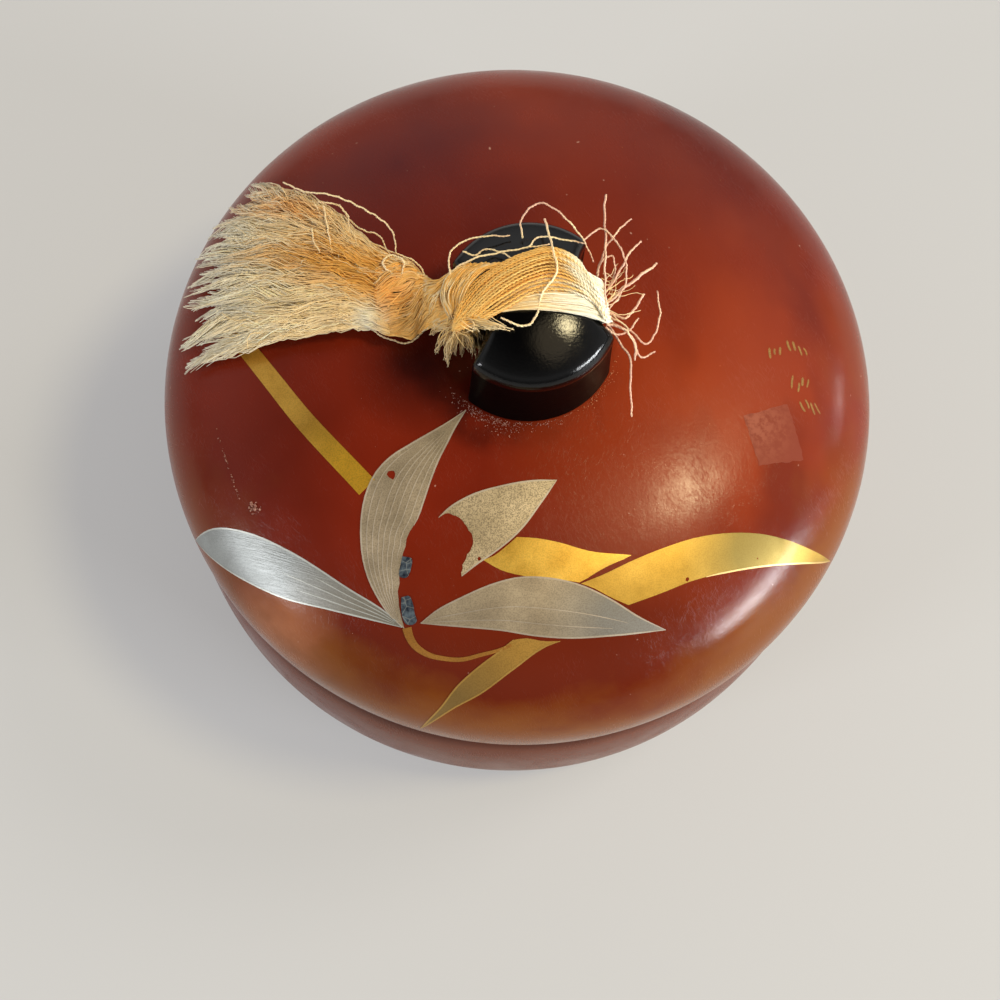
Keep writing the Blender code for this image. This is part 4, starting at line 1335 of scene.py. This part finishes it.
def flyaway_fibres(many, seed):
    """Hair-fine loose ends that stand out from the skirt, the head and the frayed right side."""
    rng = np.random.default_rng(seed)
    routes = []
    for i in range(many):
        if i % 8 == 7:
            start = np.array((rng.uniform(9.5, 11.0), rng.uniform(-6, 3), rng.uniform(83.5, 86.5)))
            heading = np.array((rng.uniform(0.5, 1.0), rng.uniform(-0.8, 0.8), rng.uniform(-0.3, 0.2)))
            length = rng.uniform(2, 6)
        else:
            at = rng.uniform(4.0, 8.8)
            edge = rng.choice([-1.0, 1.0, 0.3] if at > 6 else [1.0, 0.3])
            start = tail_point(np.array(at), edge * rng.uniform(0.7, 0.96), rng.uniform(0.2, 0.9))
            heading = np.array((-0.9, 0.30 + edge * rng.uniform(0.1, 0.5), rng.uniform(-0.2, 0.15)))
            length = rng.uniform(2, 5.5)
        bend = rng.normal(0, 0.25, 3)
        stations = (start, start + heading * length * 0.5, start + (heading + bend) * length)
        routes.append(curve_through(stations, FLYAWAY_POINTS))
    along = np.linspace(0, 1, FLYAWAY_POINTS)[None]
    paths = on_lid(crinkle(routes, 0.04 + 0.25 * along, (2.0, 5.0), rng), 0.2)
    colours = blend_colours(rng.uniform(0, 1, (many, 1)), (0.0, SILK_STRAW), (0.6, SILK_CREAM), (1.0, SILK_WHITE))
    return paths, rng.uniform(0.05, 0.09, (many, 1)) * (1 - 0.5 * along), colours


def tail_core(mat):
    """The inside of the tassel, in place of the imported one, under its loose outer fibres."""
    count, around = TAIL_CORE_GRID
    rows = np.linspace(0.0, len(TAIL) - 2.2, count)[:, None]
    turn = np.linspace(0, math.tau, around, endpoint=False)
    fill = np.interp(rows, [0, 1, 7, 9], [0.72, 0.80, 0.80, 0.55])
    rings = tail_point(rows + 0 * turn, np.cos(turn) * fill, np.sin(turn) * fill * 0.86)
    return silk_core("tassel_core", on_lid(rings, 0.15), mat)


def band_core(mat):
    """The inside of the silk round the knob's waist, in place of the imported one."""
    stations = [
        ((0, 0, 73.5), 2.0, 0.7), ((-5.6, 0, 73.7), 2.0, 0.8), ((-8.3, 0, 76.6), 2.2, 0.8),
        ((-9.2, -0.4, 81.0), 2.3, 0.9), ((-9.7, -0.6, 85.2), 1.9, 0.8), (over_knob((-8.0, 0.6), 0.4), 2.2, 0.3),
        (over_knob((-3.0, 1.4), 0.3), 2.8, 0.2), (over_knob((3.0, 1.4), 0.2), 3.4, 0.2),
        (over_knob((7.2, -0.4), 0.1), 3.0, 0.2), ((8.9, -0.8, 85.2), 2.8, 0.4), ((9.4, -0.6, 81.6), 2.4, 0.6),
        ((8.4, 0, 76.8), 2.1, 0.7), ((5.6, 0, 73.8), 1.9, 0.7), ((0, 0, 73.5), 2.0, 0.7),
    ]
    count, around = BAND_CORE_GRID
    centres = curve_through([place for place, _, _ in stations], count)
    sizes = table([(width, thick) for _, width, thick in stations], np.linspace(0, len(stations) - 1, count))
    across = np.array((0.0, 1.0, 0.0))
    out = unit(np.cross(np.gradient(centres, axis=0), across))
    turn = np.linspace(0, math.tau, around, endpoint=False)
    rings = centres[:, None] + across * (np.cos(turn) * sizes[:, :1])[..., None]
    return silk_core("band_core", rings + out[:, None] * (np.sin(turn) * sizes[:, 1:])[..., None], mat)


def silk_core(name, rings, mat):
    """A plain closed core in a darkened silk colour, painted shade deep inside the silk, over rings of points given in
    millimetres.
    """
    core = face_outward(ring_solid(name, rings * MM, mat))
    tint = core.data.color_attributes.new(TINT, "FLOAT_COLOR", "POINT")
    tint.data.foreach_set("color", np.tile((*SILK_CORE_SHADE, 1.0), len(core.data.vertices)))
    return core


def make_silk():
    mat = silk_material()
    pieces = [tail_core(mat), band_core(mat)]
    upper_tones = [(0.0, SILK_OCHRE), (0.5, SILK_BAND), (1.0, SILK_WHITE)]
    # The lower threads a step darker: painted shade under the upper ones
    shaded_lower_tones = [(0.0, SILK_ORANGE), (0.6, SILK_OCHRE), (1.0, SILK_CREAM)]
    bundles = {
        **{name: skirt_fibres(*layer) for name, layer in SKIRT_LAYERS.items()},
        "head_threads": head_threads(760, 21),
        "band_threads_lower": band_threads(13, 30, 0.55, shaded_lower_tones),
        "band_threads_upper": band_threads(15, 31, 1.0, upper_tones),
        "band_floss": band_floss(230, 32),
        "wing_fibres": wing_fibres(340, 35),
        "fringe": fringe_fibres(33),
        "stray_threads": stray_threads(),
        "flyaways": flyaway_fibres(130, 34),
    }
    for name, (paths, radii, colours) in bundles.items():
        pieces.append(tubes(name, paths * MM, np.multiply(radii, MM), colours, mat))
    for piece in pieces:
        ride_root(piece, "silk", "silk_tassel")


# ---------------------------------------------------------------- camera, light, floor

def make_camera():
    data = bpy.data.cameras.new("camera")
    data.lens = CAMERA_LENS
    data.clip_start = 0.01
    data.clip_end = 10
    camera = bpy.data.objects.new("camera", data)
    bpy.context.scene.collection.objects.link(camera)
    bpy.context.scene.camera = camera
    back = direction(CAMERA_AZIMUTH - 90, CAMERA_ELEVATION)
    camera.location = Vector((0, 0, CAMERA_TARGET_Z)) + back * CAMERA_DISTANCE
    look = (CAMERA_AIM - camera.location).to_track_quat("-Z", "Y")
    roll = Matrix.Rotation(math.radians(CAMERA_ROLL), 4, "Z")
    camera.rotation_euler = (look.to_matrix().to_4x4() @ roll).to_euler()


def area_light(name, azimuth, elevation, width, depth, power, colour):
    data = bpy.data.lights.new(name, "AREA")
    data.energy = power
    data.color = colour
    data.shape = "RECTANGLE" if depth else "DISK"
    data.size = width
    data.size_y = depth or width
    light = bpy.data.objects.new(name, data)
    light.visible_glossy = name != NO_HIGHLIGHT
    bpy.context.scene.collection.objects.link(light)
    light.location = LIGHT_TARGET + direction(azimuth, elevation) * LIGHT_DISTANCE
    light.rotation_euler = (LIGHT_TARGET - light.location).to_track_quat("-Z", "Y").to_euler()


def make_lights():
    """The area lights, and a room that is dark at the top and just above the floor and dim behind."""
    for name, values in LIGHTS.items():
        area_light(name, *values)
    bpy.context.scene.world = bpy.data.worlds.new("studio")
    sky = Look(bpy.context.scene.world, "Background")
    x, y, height = sky.axes("Generated")
    level = sky.times(sky.remap(height, 0.0, 0.34, 0.30, 1.0), sky.remap(height, 0.94, 0.52, 0.05, 1.0))
    level = sky.times(level, sky.remap(sky.plus(y, sky.times(x, 0.3)), -0.8, 0.5, 0.50, 1.0))
    sky.put({"Color": sky.mix((0, 0, 0), (level, (0.985, 0.98, 0.975))), "Strength": 0.86})


def make_floor():
    half = FLOOR_SIZE / 2
    corners = [(-half, -half, 0), (half, -half, 0), (half, half, 0), (-half, half, 0)]
    make_object("floor", corners, [(0, 1, 2, 3)], floor_material())


def main():
    scene = bpy.context.scene
    scene.view_settings.view_transform = "Standard"
    make_camera()
    make_lights()
    make_floor()
    ride_root(turned("lid_lacquer", lid_profile(), lacquer_material("lid_red_lacquer")), "red_lacquer", "box_lid")
    foot_lacquer = lacquer_material("base_red_lacquer", foot=True)
    ride_root(turned("base_lacquer", base_profile(), foot_lacquer), "red_lacquer", "box_base")
    crown = black_lacquer_material("black_lacquer_crown", 0.30, 0.10)
    wall = black_lacquer_material("black_lacquer_wall", 0.03, 0.28)
    ride_root(make_knob(crown, wall), "black_lacquer", "knob")
    make_spray()
    make_crumbs()
    make_silk()


main()
